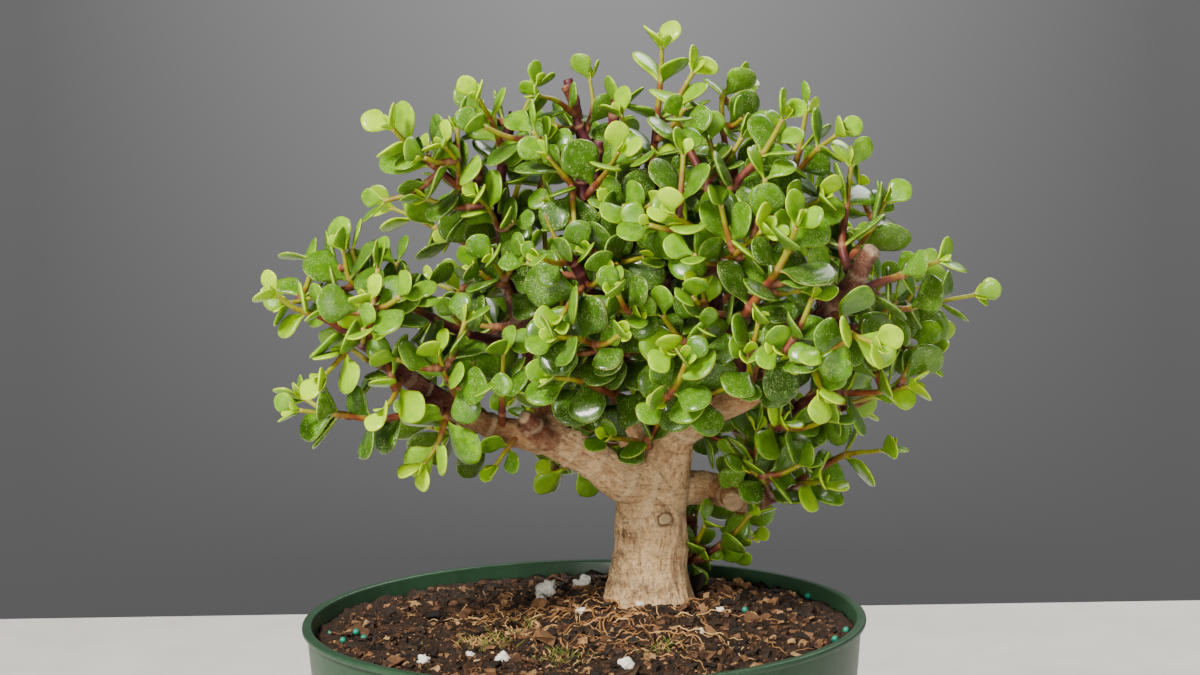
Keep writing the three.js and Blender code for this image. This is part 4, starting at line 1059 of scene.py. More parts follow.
def add_stem(shape, grown, seed, nodes):
    """A fine stem: round, thicker at its nodes, with a pale ring at each."""
    draw = drawing(seed + STEM_SEED)
    length = curve_length(grown.path)
    rings = max(STEM_FEWEST, int(length / STEM_STEP))
    shares = np.linspace(0, 1, rings + 1)
    line = curve_line(grown.path, shares)
    marks = np.array(nodes + old_nodes(grown, length, draw))
    gaps = np.abs(shares[:, None] - marks[None, :]).min(axis=1) * length
    swell = 1 + NODE_SWELL * np.exp(-(gaps / NODE_REACH) ** 2)
    radii = lerp(grown.root, grown.tip, shares) * STEM_FULLNESS * swell
    age = lerp(*stem_ages(grown), shares)
    cut = np.zeros(rings + 1)
    if not grown.leaf:
        line = np.vstack([line, line[-1] - (line[-1] - line[-2]) * CUT_DISH])
        radii = np.append(radii, radii[-1] * CUT_FACE)
        age = np.append(age, age[-1])
        gaps = np.append(gaps, gaps[-1] + CUT_CLEAR)
        cut = np.append(cut, 1)
    tube(shape, line, radii, STEM_CORNERS, age=age, cut=cut,
         ring=np.exp(-(gaps / RING_BAND) ** 2), tint=np.full(len(line), draw((0, 1))))


def old_nodes(grown, length, draw):
    """Shares at which the bare stretch of a stem once had leaves."""
    spacing = OLD_NODE_SPACING * draw(OLD_NODE_VARIES) / length
    return list(np.arange(spacing * OLD_NODE_FIRST, grown.bare, spacing)) or [0.5 * grown.bare]


def stem_ages(grown):
    """Colour age of a stem at root and tip: thick ones are older, and a growing tip is young."""
    return aged(grown.root, *STEM_AGE), 0.0 if grown.leaf else aged(grown.tip, *CUT_AGE)


def aged(radius, least, more, slim):
    return min(1, least + more * (radius - slim))


def grow_stem(wood, grown, seed):
    """Adds a fine stem, and gives the poses of the bud at its tip where it has leaves."""
    slots = leaf_slots(grown, seed)
    add_stem(wood, grown, seed, sorted({slot.share for slot in slots}))
    if not slots:
        return []
    return bud_poses(grown, slots[0].turn + (slots[-1].side + 1) * QUARTER, seed)


def bud_poses(grown, turn, seed):
    """The smallest pair, which stands up between the last two leaves of a stem."""
    draw = drawing(seed + BUD_SEED)
    at = stem_at(grown, 1)
    pair = []
    for side in (0, 2):
        slot = SimpleNamespace(
            from_tip=-1, side=side, turn=turn, spread=draw(BUD_SPREAD),
            length=grown.leaf * draw(BUD_LENGTH), broad=draw(BUD_BROAD),
            cup=BUD_CUP, droop=BUD_DROOP, roll=draw(ROLL_RANGE),
        )
        pair.append(leaf_pose(slot, at, 1, 0, 0))
    return pair


def axil_poses(pose, at, draw):
    """A small pair in the angle between a leaf and its stem."""
    out = unit(pose.direction - at.along * pose.direction.dot(at.along))
    lean = unit(at.along * draw(AXIL_LEAN) + out)
    sideways = np.cross(lean, out)
    sideways = unit(sideways) if np.linalg.norm(sideways) > AXIL_STRAIGHT else at.across
    length = draw(AXIL_LENGTH)
    upright = lean + UP * AXIL_UP
    pair = []
    for side in (1, -1):
        direction = unit(lean * draw(AXIL_OPEN) + sideways * side)
        face = unit(upright - direction * direction.dot(upright))
        pair.append(SimpleNamespace(
            root=at.middle + out * at.radius * AXIL_OUT + lean * AXIL_ALONG,
            direction=direction, face=face, across=np.cross(face, direction),
            length=length * draw(AXIL_VARIES), broad=draw(AXIL_BROAD),
            cup=AXIL_CUP, droop=0.0,
        ))
    return pair


def grow_small(shape, poses, crowd, draw):
    """A small young pair, if there is room for it."""
    samples = [leaf_samples(pose) for pose in poses]
    if crowd and not all(crowd.is_clear(places, AXIL_ROOM) for places in samples):
        return
    tint = draw((0, 1))
    for pose, places in zip(poses, samples):
        add_leaf(shape, pose, draw(YOUNG_AGES), tint)
        if crowd:
            crowd.add(places)


def standing_leaves(name, stems, first_seed):
    """The pose of each leaf of a packed spray, found by the tip that its solid has there."""
    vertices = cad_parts["spray_" + name].data.vertices
    near = search_tree([vertex.co / MM for vertex in vertices])
    found = []
    for k, grown in enumerate(stems):
        for slot in leaf_slots(grown, first_seed + k):
            at = stem_at(grown, slot.share)
            poses = list(leaf_poses(slot, at))
            gaps = [near.find(leaf_tip(pose))[2] for pose in poses]
            best = int(np.argmin(gaps))
            if gaps[best] < SAME_PLACE:
                found.append((grown, at, poses[best]))
    return found


# What the scene adds: short twigs that fill the crown

def filled_crown(crowd, standing):
    """Short leafy twigs on limbs and stems, close to the leaves of the solids."""
    tips = np.array([leaf_tip(pose) for leaves in standing.values() for _, _, pose in leaves])
    near = search_tree(tips)
    parents = [np.array(points, float)[:, :3] for name, points in LIMBS.items() if name != "trunk"]
    parents += [grown.path for stems in SPRAYS.values() for grown in stems]
    draw = drawing(TWIGS)
    twigs = []
    for attempt in range(TWIG_TRIES):
        if len(twigs) == TWIGS:
            break
        path = parents[int(draw((0, len(parents))))]
        twig = twig_from(path, draw)
        end = twig.path[-1]
        low = twig.path[:, 2].min() < TWIG_LOWEST
        if low or near.find(end)[2] > TWIG_FROM_LEAF or hides_limb(end) or hides_stub(end):
            continue
        if not is_within(end, tips):
            continue
        if not crowd.is_clear(stem_samples(twig.path, TWIG_ROOM_FROM, 1), TWIG_ROOM):
            continue
        leaves = fitted_leaves(crowd, twig, attempt)
        if len(leaves) >= TWIG_FEWEST:
            crowd.add(stem_samples(twig.path, TWIG_KEEPS_FROM, 1), TWIG_KEEPS)
            for pose in leaves:
                crowd.add(leaf_samples(pose))
            twigs.append((twig, attempt, leaves))
    return twigs


def hides_limb(place):
    """Whether a leaf here would stand before the bare left limb and the fork, as seen from the front."""
    x, y, z = place
    return OPEN_ACROSS[0] < x < OPEN_ACROSS[1] and y < OPEN_DEPTH and z < OPEN_HEIGHT - OPEN_SLOPE * x


def hides_stub(place):
    """Whether a leaf here would stand before a cut stub, as seen from the front."""
    tops = [grown.path[-1] for grown in STUBS.values()] + [points[-1][:3] for points in KNOBS.values()]
    offs = [np.subtract(place, top) for top in tops]
    return any(abs(off[0]) < STUB_SIDE and off[1] < 0 and -STUB_BELOW < off[2] < STUB_SIDE for off in offs)


def is_within(place, tips):
    """Whether a leaf of the solids stands further from the crown's heart, in the same direction."""
    out, others = place - CROWN_HEART, tips - CROWN_HEART
    distances = np.linalg.norm(others, axis=1)
    beside = others @ unit(out) > WITHIN * distances
    return bool((distances[beside] * INSIDE > np.linalg.norm(out)).any())


def twig_from(path, draw):
    """A short twig out of a limb or a stem, which bends up and away from the crown's middle."""
    start = curve_point(path, draw(TWIG_ALONG))
    around = unit(np.array([draw(ends) for ends in TWIG_TURNS]))
    heading = unit(around + outward_at(start) * TWIG_OUTWARD + UP * TWIG_UP)
    length = draw(TWIG_LENGTH)
    middle = start + heading * length * 0.5
    end = middle + unit(heading + UP * TWIG_BEND) * length * 0.5
    return stem([start, middle, end], *TWIG_STEM, draw(TWIG_LEAF), TWIG_BARE)


def fitted_leaves(crowd, grown, seed):
    """The leaves of a new stem that find a place clear of all that grows there already."""
    leaves = []
    own = []
    for slot in leaf_slots(grown, seed):
        for pose in leaf_poses(slot, stem_at(grown, slot.share)):
            samples = leaf_samples(pose)
            if crowd.is_clear(samples, LEAF_ROOM) and clear_of(samples, own):
                leaves.append(pose)
                own.append(samples)
                break
    return leaves


def clear_of(samples, others):
    return all(np.linalg.norm(other[:, None] - samples, axis=2).min() > SMALL_ROOM
               for other in others)


# Trunk and limbs

def limb_line(points):
    """A limb's middle and radius, step by step."""
    points = np.array(points, float)
    count = max(WOOD_FEWEST, int(curve_length(points) / WOOD_STEP))
    line = curve_line(points, np.linspace(0, 1, count))
    return line[:, :3], line[:, 3]


def wood_shape():
    """The trunk, limbs and cut knobs as overlapping tubes with rounded ends, to be melted together."""
    shape = Shape()
    for points in WOOD.values():
        line, radii = limb_line(points)
        start = line[0] - unit(line[1] - line[0]) * radii[0] * WOOD_ENDS[0]
        end = line[-1] + unit(line[-1] - line[-2]) * radii[-1] * WOOD_ENDS[1]
        line = np.vstack([start, line, end])
        radii = np.concatenate([radii[:1] * WOOD_END_FACE, radii, radii[-1:] * WOOD_END_FACE])
        tube(shape, line, radii, WOOD_CORNERS)
    return shape


def wood_marks():
    """Every place on the limbs' middles, with the direction, radius, distance and limb there."""
    marks = []
    for number, points in enumerate(WOOD.values()):
        limb = SimpleNamespace(
            is_trunk=number == 0, is_knob=number >= len(LIMBS),
            rings=ring_places(number), end=np.array(points[-1][:3], float))
        line, radii = limb_line(points)
        steps = np.linalg.norm(np.diff(line, axis=0), axis=1)
        distances = np.concatenate([[0], np.cumsum(steps)])
        for place, along, radius, distance in zip(line, headings(line), radii, distances):
            marks.append((place, along, radius, distance, limb))
    return marks


def melted(made):
    """One skin round overlapping tubes, with soft creases where they meet."""
    remesh = made.modifiers.new("skin", "REMESH")
    remesh.mode = "VOXEL"
    remesh.voxel_size = WOOD_VOXEL * MM
    smooth = made.modifiers.new("creases", "SMOOTH")
    smooth.factor = CREASE_SOFTNESS
    smooth.iterations = CREASE_ROUNDS
    settled(made)


def ring_places(number):
    """How far along a limb its old leaf rings lie."""
    draw = drawing(number + RING_SEED)
    places = [draw(RING_FIRST)]
    while places[-1] < LIMB_LONGEST:
        places.append(places[-1] + draw(RING_SPACING))
    return np.array(places)


def carve_wood(made):
    """Moves the skin in and out: wrinkles along the grain, rings, root flare and the pruning scar."""
    marks = wood_marks()
    near = search_tree([mark[0] for mark in marks])
    values = {}
    for vertex in made.data.vertices:
        place = np.array(vertex.co) / MM
        push, found = carved_at(place, *marks[near.find(place)[1]])
        vertex.co += Vector(push * MM)
        for name, value in found.items():
            values.setdefault(name, []).append(value)
    write_values(made.data, values)
    made.data.shade_smooth()


def carved_at(place, middle, along, radius, distance, limb):
    """How far and which way the skin moves at a place on it, and the values that colour it there."""
    out = place - middle
    out = unit(out - along * out.dot(along))
    ring = hill(np.abs(limb.rings - distance).min(), RING_WIDTH) * (0.5 if limb.is_trunk else 1)
    grain = (out * radius + along * distance * GRAIN_STRETCH) / GRAIN_SIZE
    wrinkle = sum(rise * noise.noise(Vector(grain * often)) for rise, often in WRINKLES)
    lump = noise.noise(Vector(place / LUMP_SIZE))
    scar, scar_rise = scar_at(place)
    rough = rough_at(place) if limb.is_trunk else 0.0
    crack = noise.noise(Vector(place / CRACK_SIZE)) * rough
    if limb.is_knob:
        beyond = (place - limb.end).dot(along)
        scar = max(scar, min(CUT_PALE, max(0.0, beyond + CUT_EDGE)))
    foot = flare_at(place, out) if limb.is_trunk else 0
    push = radius * (WRINKLE_RISE * wrinkle + LUMP_RISE * lump) + RING_RISE * ring + foot
    push += scar_rise + CRACK_RISE * crack
    thick = radius * (1 - TAN_LOSS * clamped((place[2] - TAN_HEIGHT) / TAN_FADE))
    return out * push, {"thick": thick, "ring": ring, "scar": scar, "rough": rough, "grain": grain}


def rough_at(place):
    """How broken the bark is here, from 0 to 1: it is so on the trunk's left, and near its foot."""
    reach = [math.exp(-float(((place - middle) ** 2).sum()) / size**2) for middle, size in ROUGH_PLACES]
    return min(1.0, sum(reach) * (ROUGH_LEAST + noise.noise(Vector(place / ROUGH_SIZE))))


def scar_at(place):
    """Where a branch was pruned from the trunk: how pale it is here, and how far it stands out."""
    gap = float(np.linalg.norm((place - SCAR_PLACE) / SCAR_SHAPE))
    gap += SCAR_WANDER * noise.noise(Vector(place / SCAR_WANDER_SIZE))
    pale = clamped((SCAR_FACE - gap) / SCAR_EDGE + 0.5)
    collar = hill(gap - SCAR_COLLAR, COLLAR_WIDTH)
    groove = hill(gap - SCAR_FACE - GROOVE_OUT, GROOVE_WIDTH)
    return pale - groove, float(np.dot(SCAR_RISES, (collar, groove, pale)))


def flare_at(place, out):
    """The trunk widens into root shoulders where it goes into the soil."""
    height = place[2] - FOOT_HEIGHT
    angle = math.atan2(out[1], out[0])
    around = (math.cos(angle) * FOOT_LOBE_TURNS, math.sin(angle) * FOOT_LOBE_TURNS, FOOT_LOBE_LEVEL)
    lobes = FOOT_LOBES[0] + FOOT_LOBES[1] * noise.noise(Vector(around))
    return FOOT_FLARE * lobes * math.exp(-max(0.0, height) / FOOT_FADE)


def make_wood():
    made = mesh_object("trunk_and_limb_wood", wood_shape(), wood_material())
    melted(made)
    carve_wood(made)
    placed(made, "bark", "trunk_and_limbs")


# Soil, with what lies on it

def from_trunk(x, y):
    return math.hypot(x - TRUNK_FOOT[0], y - TRUNK_FOOT[1])


def soil_height(x, y):
    """The heap under the trunk, as the solid has it, with lumps and crumbs on it."""
    near = min(1, from_trunk(x, y) / SOIL_HEAP_REACH)
    height = RIM_HEIGHT - SOIL_BELOW_LIP + SOIL_HEAP * (0.5 + 0.5 * math.cos(math.pi * near))
    for rise, size, level in SOIL_LUMPS:
        height += rise * noise.noise(Vector((x / size, y / size, level)))
    return height


def circle(radius, sides, turn=0.0):
    """Places evenly round the pot's axis, from a share of a side on."""
    angles = 2 * math.pi * (np.arange(sides) + turn) / sides
    return [(radius * math.cos(angle), radius * math.sin(angle)) for angle in angles]


def inner_radius(height):
    return RIM_RADIUS - LIP_OVERHANG - WALL - (RIM_HEIGHT - height) * math.tan(WALL_LEAN)


def make_soil():
    """The soil as one closed body: its crumbled top, its wall and its underside."""
    edge = inner_radius(RIM_HEIGHT - SOIL_BELOW_LIP) - SOIL_GAP
    rings = []
    for ring in range(SOIL_RINGS):
        level = circle(edge * (ring + 0.5) / (SOIL_RINGS - 0.5), SOIL_SIDES)
        rings.append([(x, y, soil_height(x, y)) for x, y in level])
    under = POT_FLOOR + SOIL_GAP
    rings.append([(x, y, under) for x, y in circle(inner_radius(POT_FLOOR) - SOIL_GAP, SOIL_SIDES)])
    points = np.vstack([*rings, (0, 0, soil_height(0, 0)), (0, 0, under)])
    shape = Shape()
    shape.add(points, [face[::-1] for face in tube_faces(SOIL_RINGS + 1, SOIL_SIDES)])
    peat = grained_material(
        "potting_soil", (0.8, 6, 0.75),
        ((0.3, SOIL_BLACK), (0.5, SOIL_BROWN), (0.66, SOIL_RUST), (0.8, SOIL_STRAW)),
        (0.65, 0.95), 1.4, Specular_IOR_Level=0.25)
    piece("soil_bed", shape, peat, "soil", "soil")


def chip_shape(count, lengths, flatness, seed, sink):
    """Shards of bark and peat that lie on the soil at all angles."""
    shape = Shape()
    draws = np.random.default_rng(seed)
    for _ in range(count):
        length = lengths[0] * (lengths[1] / lengths[0]) ** (draws.random() ** CHIP_SHORTNESS)
        radius = (inner_radius(RIM_HEIGHT) - CHIP_FROM_WALL - length / 2) * math.sqrt(draws.random())
        angle = draws.random() * 2 * math.pi
        x, y = radius * math.cos(angle), radius * math.sin(angle)
        if from_trunk(x, y) < CHIP_FROM_TRUNK:
            continue
        broad = length * draws.uniform(*CHIP_BREADTH)
        size = np.array([length, broad, broad * draws.uniform(*flatness)]) / 2
        corners = SHARD * draws.uniform(*CHIP_VARIES, SHARD.shape) * size
        turns = [draws.normal(0, tilt) for tilt in CHIP_TILTS] + [draws.random() * 2 * math.pi]
        pitch, roll, spin = (Matrix.Rotation(turn, 3, axis) for turn, axis in zip(turns, "XYZ"))
        height = soil_height(x, y) + size[2] * sink
        points = corners @ np.array(spin @ (pitch @ roll)).T + (x, y, height)
        shape.add(points, SHARD_FACES, tint=draws.random())
    return shape


def make_chips():
    """Crumbs of peat and chips of bark, from black and damp to the colour of straw."""
    crumbly = grained_material(
        "bark_and_peat", (0.7, 5, 0.7),
        ((0.0, SOIL_BLACK), (0.42, SOIL_BROWN), (0.72, SOIL_RUST), (0.93, SOIL_TAN), (1.0, SOIL_STRAW)),
        (0.6, 0.9), 0.5, wander=0.12, Specular_IOR_Level=0.3)
    for name, kind in CHIPS.items():
        piece(name, chip_shape(*kind), crumbly, "soil", smooth=False)


def root_line(draws):
    """One root that wanders over the heap, now and then lifted clear of it."""
    angle = draws.normal(*ROOT_HEADING)
    away = draws.uniform(*ROOT_AWAY)
    x = TRUNK_FOOT[0] + away * math.cos(angle)
    y = TRUNK_FOOT[1] + away * math.sin(angle)
    heading = angle + draws.normal(0, ROOT_TURN)
    lift = draws.uniform(*ROOT_LIFT)
    steps = int(draws.uniform(*ROOT_STEPS))
    line = []
    for step in range(steps):
        arch = math.sin(math.pi * step / (steps - 1)) * lift
        line.append((x, y, soil_height(x, y) + arch - ROOT_SUNK))
        heading += draws.normal(0, ROOT_WANDER)
        x += ROOT_STEP * math.cos(heading)
        y += ROOT_STEP * math.sin(heading)
    return np.array(line)


def make_roots():
    """Fine tan roots over the soil, thickest in front of the trunk and to its left."""
    shape = Shape()
    draws = np.random.default_rng(ROOT_SEED)
    for _ in range(ROOTS):
        line = root_line(draws)
        if np.hypot(line[:, 0], line[:, 1]).max() > inner_radius(RIM_HEIGHT) - ROOT_FROM_WALL:
            continue
        thick = ROOT_THICK[0] + ROOT_THICK[1] * draws.random() ** ROOT_THINNESS
        radii = np.linspace(thick, thick * ROOT_TAPER, len(line))
        tube(shape, line, radii, ROOT_CORNERS, tint=np.full(len(line), draws.random()))
    skin = strand_material("root_skin", (0.0, ROOT_BROWN), (0.5, ROOT_TAN), (1.0, ROOT_STRAW))
    piece("surface_roots", shape, skin, "bark")


def on_soil(x, y):
    """The place on the soil that a pixel of the photograph shows."""
    across, up, forward = camera_axes()
    right = (x - PHOTO_WIDTH / 2) / PHOTO_WIDTH * CAMERA_SENSOR / CAMERA_FOCAL
    above = (PHOTO_HEIGHT / 2 - y) / PHOTO_WIDTH * CAMERA_SENSOR / CAMERA_FOCAL
    start, way = np.array(CAMERA_PLACE), unit(forward + across * right + up * above)
    height = RIM_HEIGHT
    for _ in range(SIGHT_ROUNDS):
        place = start + way * (height - start[2]) / way[2]
        height = soil_height(place[0], place[1])
    return np.array([place[0], place[1], height])


def ball(radius, squash, seed, roughness, detail):
    """A rough pebble: a ball moved in and out by noise, flattened to its squash on each axis."""
    work = bmesh.new()
    bmesh.ops.create_icosphere(work, subdivisions=detail, radius=1)
    work.verts.index_update()
    points = np.array([vertex.co for vertex in work.verts])
    faces = [tuple(vertex.index for vertex in face.verts) for face in work.faces]
    work.free()
    often, apart = PEBBLE_LUMPS
    push = [1 + roughness * noise.noise(Vector(point * often + seed * apart)) for point in points]
    return points * np.array(push)[:, None] * radius * squash, faces


def pebble_shape(places, squash, roughness, raised, detail):
    """Pebbles that lie on the soil at these pixels of the photograph, each with its radius."""
    shape = Shape()
    for seed, (x, y, radius) in enumerate(places):
        points, faces = ball(radius, squash, seed, roughness, detail)
        shape.add(points + on_soil(x, y) + (0, 0, radius * raised), faces)
    return shape


def make_pebbles():
    """White volcanic pebbles and green prills of plant food, where the photograph shows them."""
    white = [(x, y, width * PIXEL * PERLITE_SIZE) for x, y, width in PERLITE]
    chalky = grained_material(
        "perlite", (1.1, 4, 0.65), ((0.35, PERLITE_GREY), (0.65, PERLITE_WHITE)), (0.7, 0.9), 0.5)
    piece("perlite", pebble_shape(white, *PERLITE_LOOK), chalky, "soil")
    green = [(x, y, PRILL_RADIUS) for x, y in PRILLS]
    coated = grained_material(
        "plant_food", (0.8, 4, 0.65), ((0.35, PRILL_DARK), (0.65, PRILL_GREEN)), (0.3, 0.45), 0.05)
    piece("plant_food_prills", pebble_shape(green, *PRILL_LOOK), coated, "soil")


def make_moss():
    """Tufts of moss and straw-coloured shreds on the soil."""
    shape = Shape()
    draws = np.random.default_rng(MOSS_SEED)
    for right, down, spread, count in MOSS:
        middle = on_soil(right, down)
        for _ in range(count):
            x, y = middle[:2] + draws.normal(0, spread, 2)
            foot = np.array([x, y, soil_height(x, y) - MOSS_SUNK])
            lean = np.array([*draws.normal(0, MOSS_LEAN, 2), 1.0])
            tall = draws.uniform(*MOSS_TALL)
            bend = np.array([*draws.normal(0, MOSS_BEND, 2), 0.0])
            line = np.array([foot, foot + lean * tall * 0.5, foot + lean * tall + bend])
            tube(shape, line, MOSS_RADII, MOSS_CORNERS, tint=np.full(3, draws.random()))
    green = strand_material(
        "moss", (0.0, MOSS_DARK), (0.45, MOSS_GREEN), (0.75, ROOT_TAN), (1.0, ROOT_STRAW))
    piece("moss_tufts", shape, green, "foliage")


# Pot

def lathe(profile, sides):
    """Points and faces of a profile of radii and heights, turned about the pot's axis."""
    rings = [[(x, y, height) for x, y in circle(radius, sides)] for radius, height in profile]
    points = np.vstack([*rings, (0, 0, profile[0][1]), (0, 0, profile[-1][1])])
    return points, tube_faces(len(profile), sides)


def rounded(middle, radius, first, last):
    """Points of an arc of a profile, between two angles in degrees."""
    angles = np.radians(np.linspace(first, last, ARC_STEPS))
    return [(middle[0] + radius * math.cos(a), middle[1] + radius * math.sin(a)) for a in angles]


def pot_profile():
    """From under the base, out and up the wall, over the rolled lip and down inside."""
    wall = RIM_RADIUS - LIP_OVERHANG
    under = RIM_HEIGHT - LIP_DEPTH
    base = wall - under * math.tan(WALL_LEAN)
    lip, foot = LIP_ROUND, FOOT_ROUND
    outer = [(base + share * (wall - base), share * under) for share in WALL_SHARES]
    highest, lowest, count = WALL_INSIDE
    inner = [(inner_radius(height), height) for height in np.linspace(RIM_HEIGHT - highest, lowest, count)]
    return [
        (POT_HUB, foot), (base - FOOT_RING[0], foot), (base - FOOT_RING[1], 0),
        *rounded((base - foot, foot), foot, -90, 0),
        *outer,
        *[(wall - LIP_GROOVE, under - down) for down in GROOVE_ENDS],
        *rounded((RIM_RADIUS - lip, under + lip), lip, -100, 0),
        *rounded((RIM_RADIUS - lip, RIM_HEIGHT - lip), lip, 0, 90),
        *rounded((wall - WALL + lip, RIM_HEIGHT - lip), lip, 90, 180),
        *inner,
        *rounded((inner_radius(FLOOR_CORNER) - FLOOR_ROUND, POT_FLOOR + FLOOR_ROUND), FLOOR_ROUND, 0, -90),
        (POT_HUB, POT_FLOOR),
    ]


def make_pot():
    """The pot turned from its profile, with drainage holes cut through its base."""
    shape = Shape()
    shape.add(*lathe(pot_profile(), POT_SIDES))
    made = mesh_object("nursery_pot", shape, pot_material())
    drills = Shape()
    for x, y in circle(DRAIN_CIRCLE, DRAIN_HOLES, 0.5):
        points, faces = lathe([(DRAIN_RADIUS, height) for height in DRILL_ENDS], DRILL_SIDES)
        drills.add(points + (x, y, 0), faces)
    drill = mesh_object("drill", drills, made.data.materials[0])
    cut = made.modifiers.new("drainage", "BOOLEAN")
    cut.object = drill
    cut.solver = "EXACT"
    settled(made)
    made.data.shade_smooth()
    bpy.data.objects.remove(drill)
    crisp = made.modifiers.new("crisp", "EDGE_SPLIT")
    crisp.split_angle = CRISP_ANGLE
    placed(made, "pot", "pot")


# Materials

def add_node(tree, kind, inputs=None, **settings):
    """A node with its settings, and with a value or another node's output on each input."""
    made = tree.nodes.new("ShaderNode" + kind)
    for key, value in settings.items():
        setattr(made, key, value)
    for key, value in (inputs or {}).items():
        if isinstance(value, bpy.types.NodeSocket):
            tree.links.new(value, made.inputs[key])
        else:
            made.inputs[key].default_value = value
    return made


def new_material(name, **sockets):
    """A material, its node tree and its shader, with plain values on the shader's sockets."""
    material = bpy.data.materials.new(name)
    material.use_nodes = True
    tree = material.node_tree
    shader = tree.nodes["Principled BSDF"]
    for key, value in sockets.items():
        shader.inputs[key.replace("_", " ")].default_value = value
    return material, tree, shader


def value_of(tree, name):
    return add_node(tree, "Attribute", attribute_name=name).outputs["Fac"]


def vector_of(tree, name):
    return add_node(tree, "Attribute", attribute_name=name).outputs["Vector"]


def stretched(tree, vector, factors):
    made = add_node(tree, "VectorMath", {0: vector, 1: factors}, operation="MULTIPLY")
    return made.outputs[0]


def object_place(tree):
    """Millimetres in the part's frame."""
    return stretched(tree, add_node(tree, "TexCoord").outputs["Object"], (1 / MM, 1 / MM, 1 / MM))


def noise_of(tree, vector, scale, detail=3.0, roughness=0.55):
    inputs = {"Vector": vector, "Scale": scale, "Detail": detail, "Roughness": roughness}
    return add_node(tree, "TexNoise", inputs).outputs["Fac"]


def spots_of(tree, vector, scale):
    return add_node(tree, "TexVoronoi", {"Vector": vector, "Scale": scale}).outputs["Distance"]


def sums(tree, operation, first, second=0.0, clamp=False):
    made = add_node(tree, "Math", {0: first, 1: second}, operation=operation, use_clamp=clamp)
    return made.outputs[0]


def times(tree, first, second):
    return sums(tree, "MULTIPLY", first, second)


def between(tree, value, low, high, least=0.0, most=1.0):
    """A value brought from one range to another, and kept within it."""
    inputs = {"Value": value, "From Min": low, "From Max": high, "To Min": least, "To Max": most}
    return add_node(tree, "MapRange", inputs).outputs["Result"]


def varied(tree, value, pattern, amount):
    """A value from 0 to 1 that a pattern moves up and down by so much."""
    return sums(tree, "ADD", value, between(tree, pattern, 0.3, 0.7, -amount, amount), clamp=True)


def blended(tree, share, first, second):
    """Two colours mixed: each is an output or red, green and blue."""
    made = add_node(tree, "Mix", {0: share}, data_type="RGBA")
    for number, colour in ((6, first), (7, second)):
        if isinstance(colour, bpy.types.NodeSocket):
            tree.links.new(colour, made.inputs[number])
        else:
            made.inputs[number].default_value = (*colour, 1)
    return made.outputs[2]


def ramp_of(tree, value, *stops):
    """Colours at places from 0 to 1."""
    made = add_node(tree, "ValToRGB", {"Fac": value})
    elements = made.color_ramp.elements
    while len(elements) < len(stops):
        elements.new(0.5)
    for element, (place, colour) in zip(elements, stops):
        element.position = place
        element.color = (*colour, 1)
    return made.outputs["Color"]


def bump_of(tree, height, distance, strength=1.0):
    """A bump of so many millimetres."""
    inputs = {"Height": height, "Distance": distance * MM, "Strength": strength}
    return add_node(tree, "Bump", inputs).outputs["Normal"]


def join(shader, **outputs):
    """What was made, on the shader's sockets."""
    for name, output in outputs.items():
        shader.id_data.links.new(output, shader.inputs[name.replace("_", " ")])


def leaf_material():
    """Fleshy leaf: lime when young, deep green when old and where shade inside the crown is painted in, a
    pale margin and specks of hard water.
    """
    material, tree, shader = new_material(
        "jade_leaf", Subsurface_Weight=0.16, Subsurface_Scale=0.0022, Subsurface_Radius=(0.7, 1.0, 0.25),
        Specular_IOR_Level=0.24, Coat_Weight=0.28, Coat_Roughness=0.1, IOR=1.42,
    )
    age, tint, inset = (value_of(tree, name) for name in ("age", "tint", "inset"))
    under, place = value_of(tree, "under"), vector_of(tree, "place")
    cloud = noise_of(tree, place, 0.22, 2)
    # the age of a leaf includes painted shade deep in the crown and on the inner twigs, which turns those
    # leaves deep green
    flesh = ramp_of(tree, varied(tree, age, cloud, 0.13),
                    (0.0, LIME), (0.28, YELLOW_GREEN), (0.6, MIDDLE_GREEN), (1.0, DEEP_GREEN))
    pale_under = blended(tree, times(tree, under, 0.4), flesh, UNDER_GREEN)
    grain = noise_of(tree, place, 1.7, 4, 0.7)
    specks = between(tree, noise_of(tree, place, 1.9, 3, 0.75), 0.52, 0.62)
    patches = between(tree, noise_of(tree, place, 0.3, 2), 0.4, 0.6, 0.15, 1.0)
    speckled = times(tree, times(tree, specks, patches), between(tree, age, 0.15, 0.6, 0.05, 0.8))
    dusty = blended(tree, speckled, pale_under, SPECK)
    shaded = blended(tree, between(tree, grain, 0.25, 0.75, 0.0, 0.22), dusty, DEEP_GREEN)
    edge = between(tree, inset, 0.03, 0.24, 0.68, 0.0)
    edge_colour = ramp_of(tree, sums(tree, "ADD", age, between(tree, tint, 0, 1, -0.2, 0.2), clamp=True),
                          (0.0, EDGE_YELLOW), (0.45, EDGE_LIME), (1.0, EDGE_PALE))
    rimmed = blended(tree, edge, shaded, edge_colour)
    near_edge = between(tree, inset, 0.02, 0.13, 0.7, 0.0)
    blush = times(tree, between(tree, tint, 0.88, 0.97), near_edge)
    flushed = blended(tree, blush, rimmed, EDGE_RED)
    scars = times(tree, between(tree, spots_of(tree, place, 0.16), 0.055, 0.03),
                  between(tree, age, 0.4, 0.6))
    marked = blended(tree, scars, flushed, SCAR_TAN)
    dull = times(tree, speckled, 0.35)
    rough = sums(tree, "ADD", between(tree, grain, 0.3, 0.7, 0.24, 0.4), dull)
    height = sums(tree, "ADD", times(tree, grain, 0.5), times(tree, cloud, 1.5))
    join(shader, Base_Color=marked, Roughness=rough, Normal=bump_of(tree, height, 0.12, 0.6))
    return material


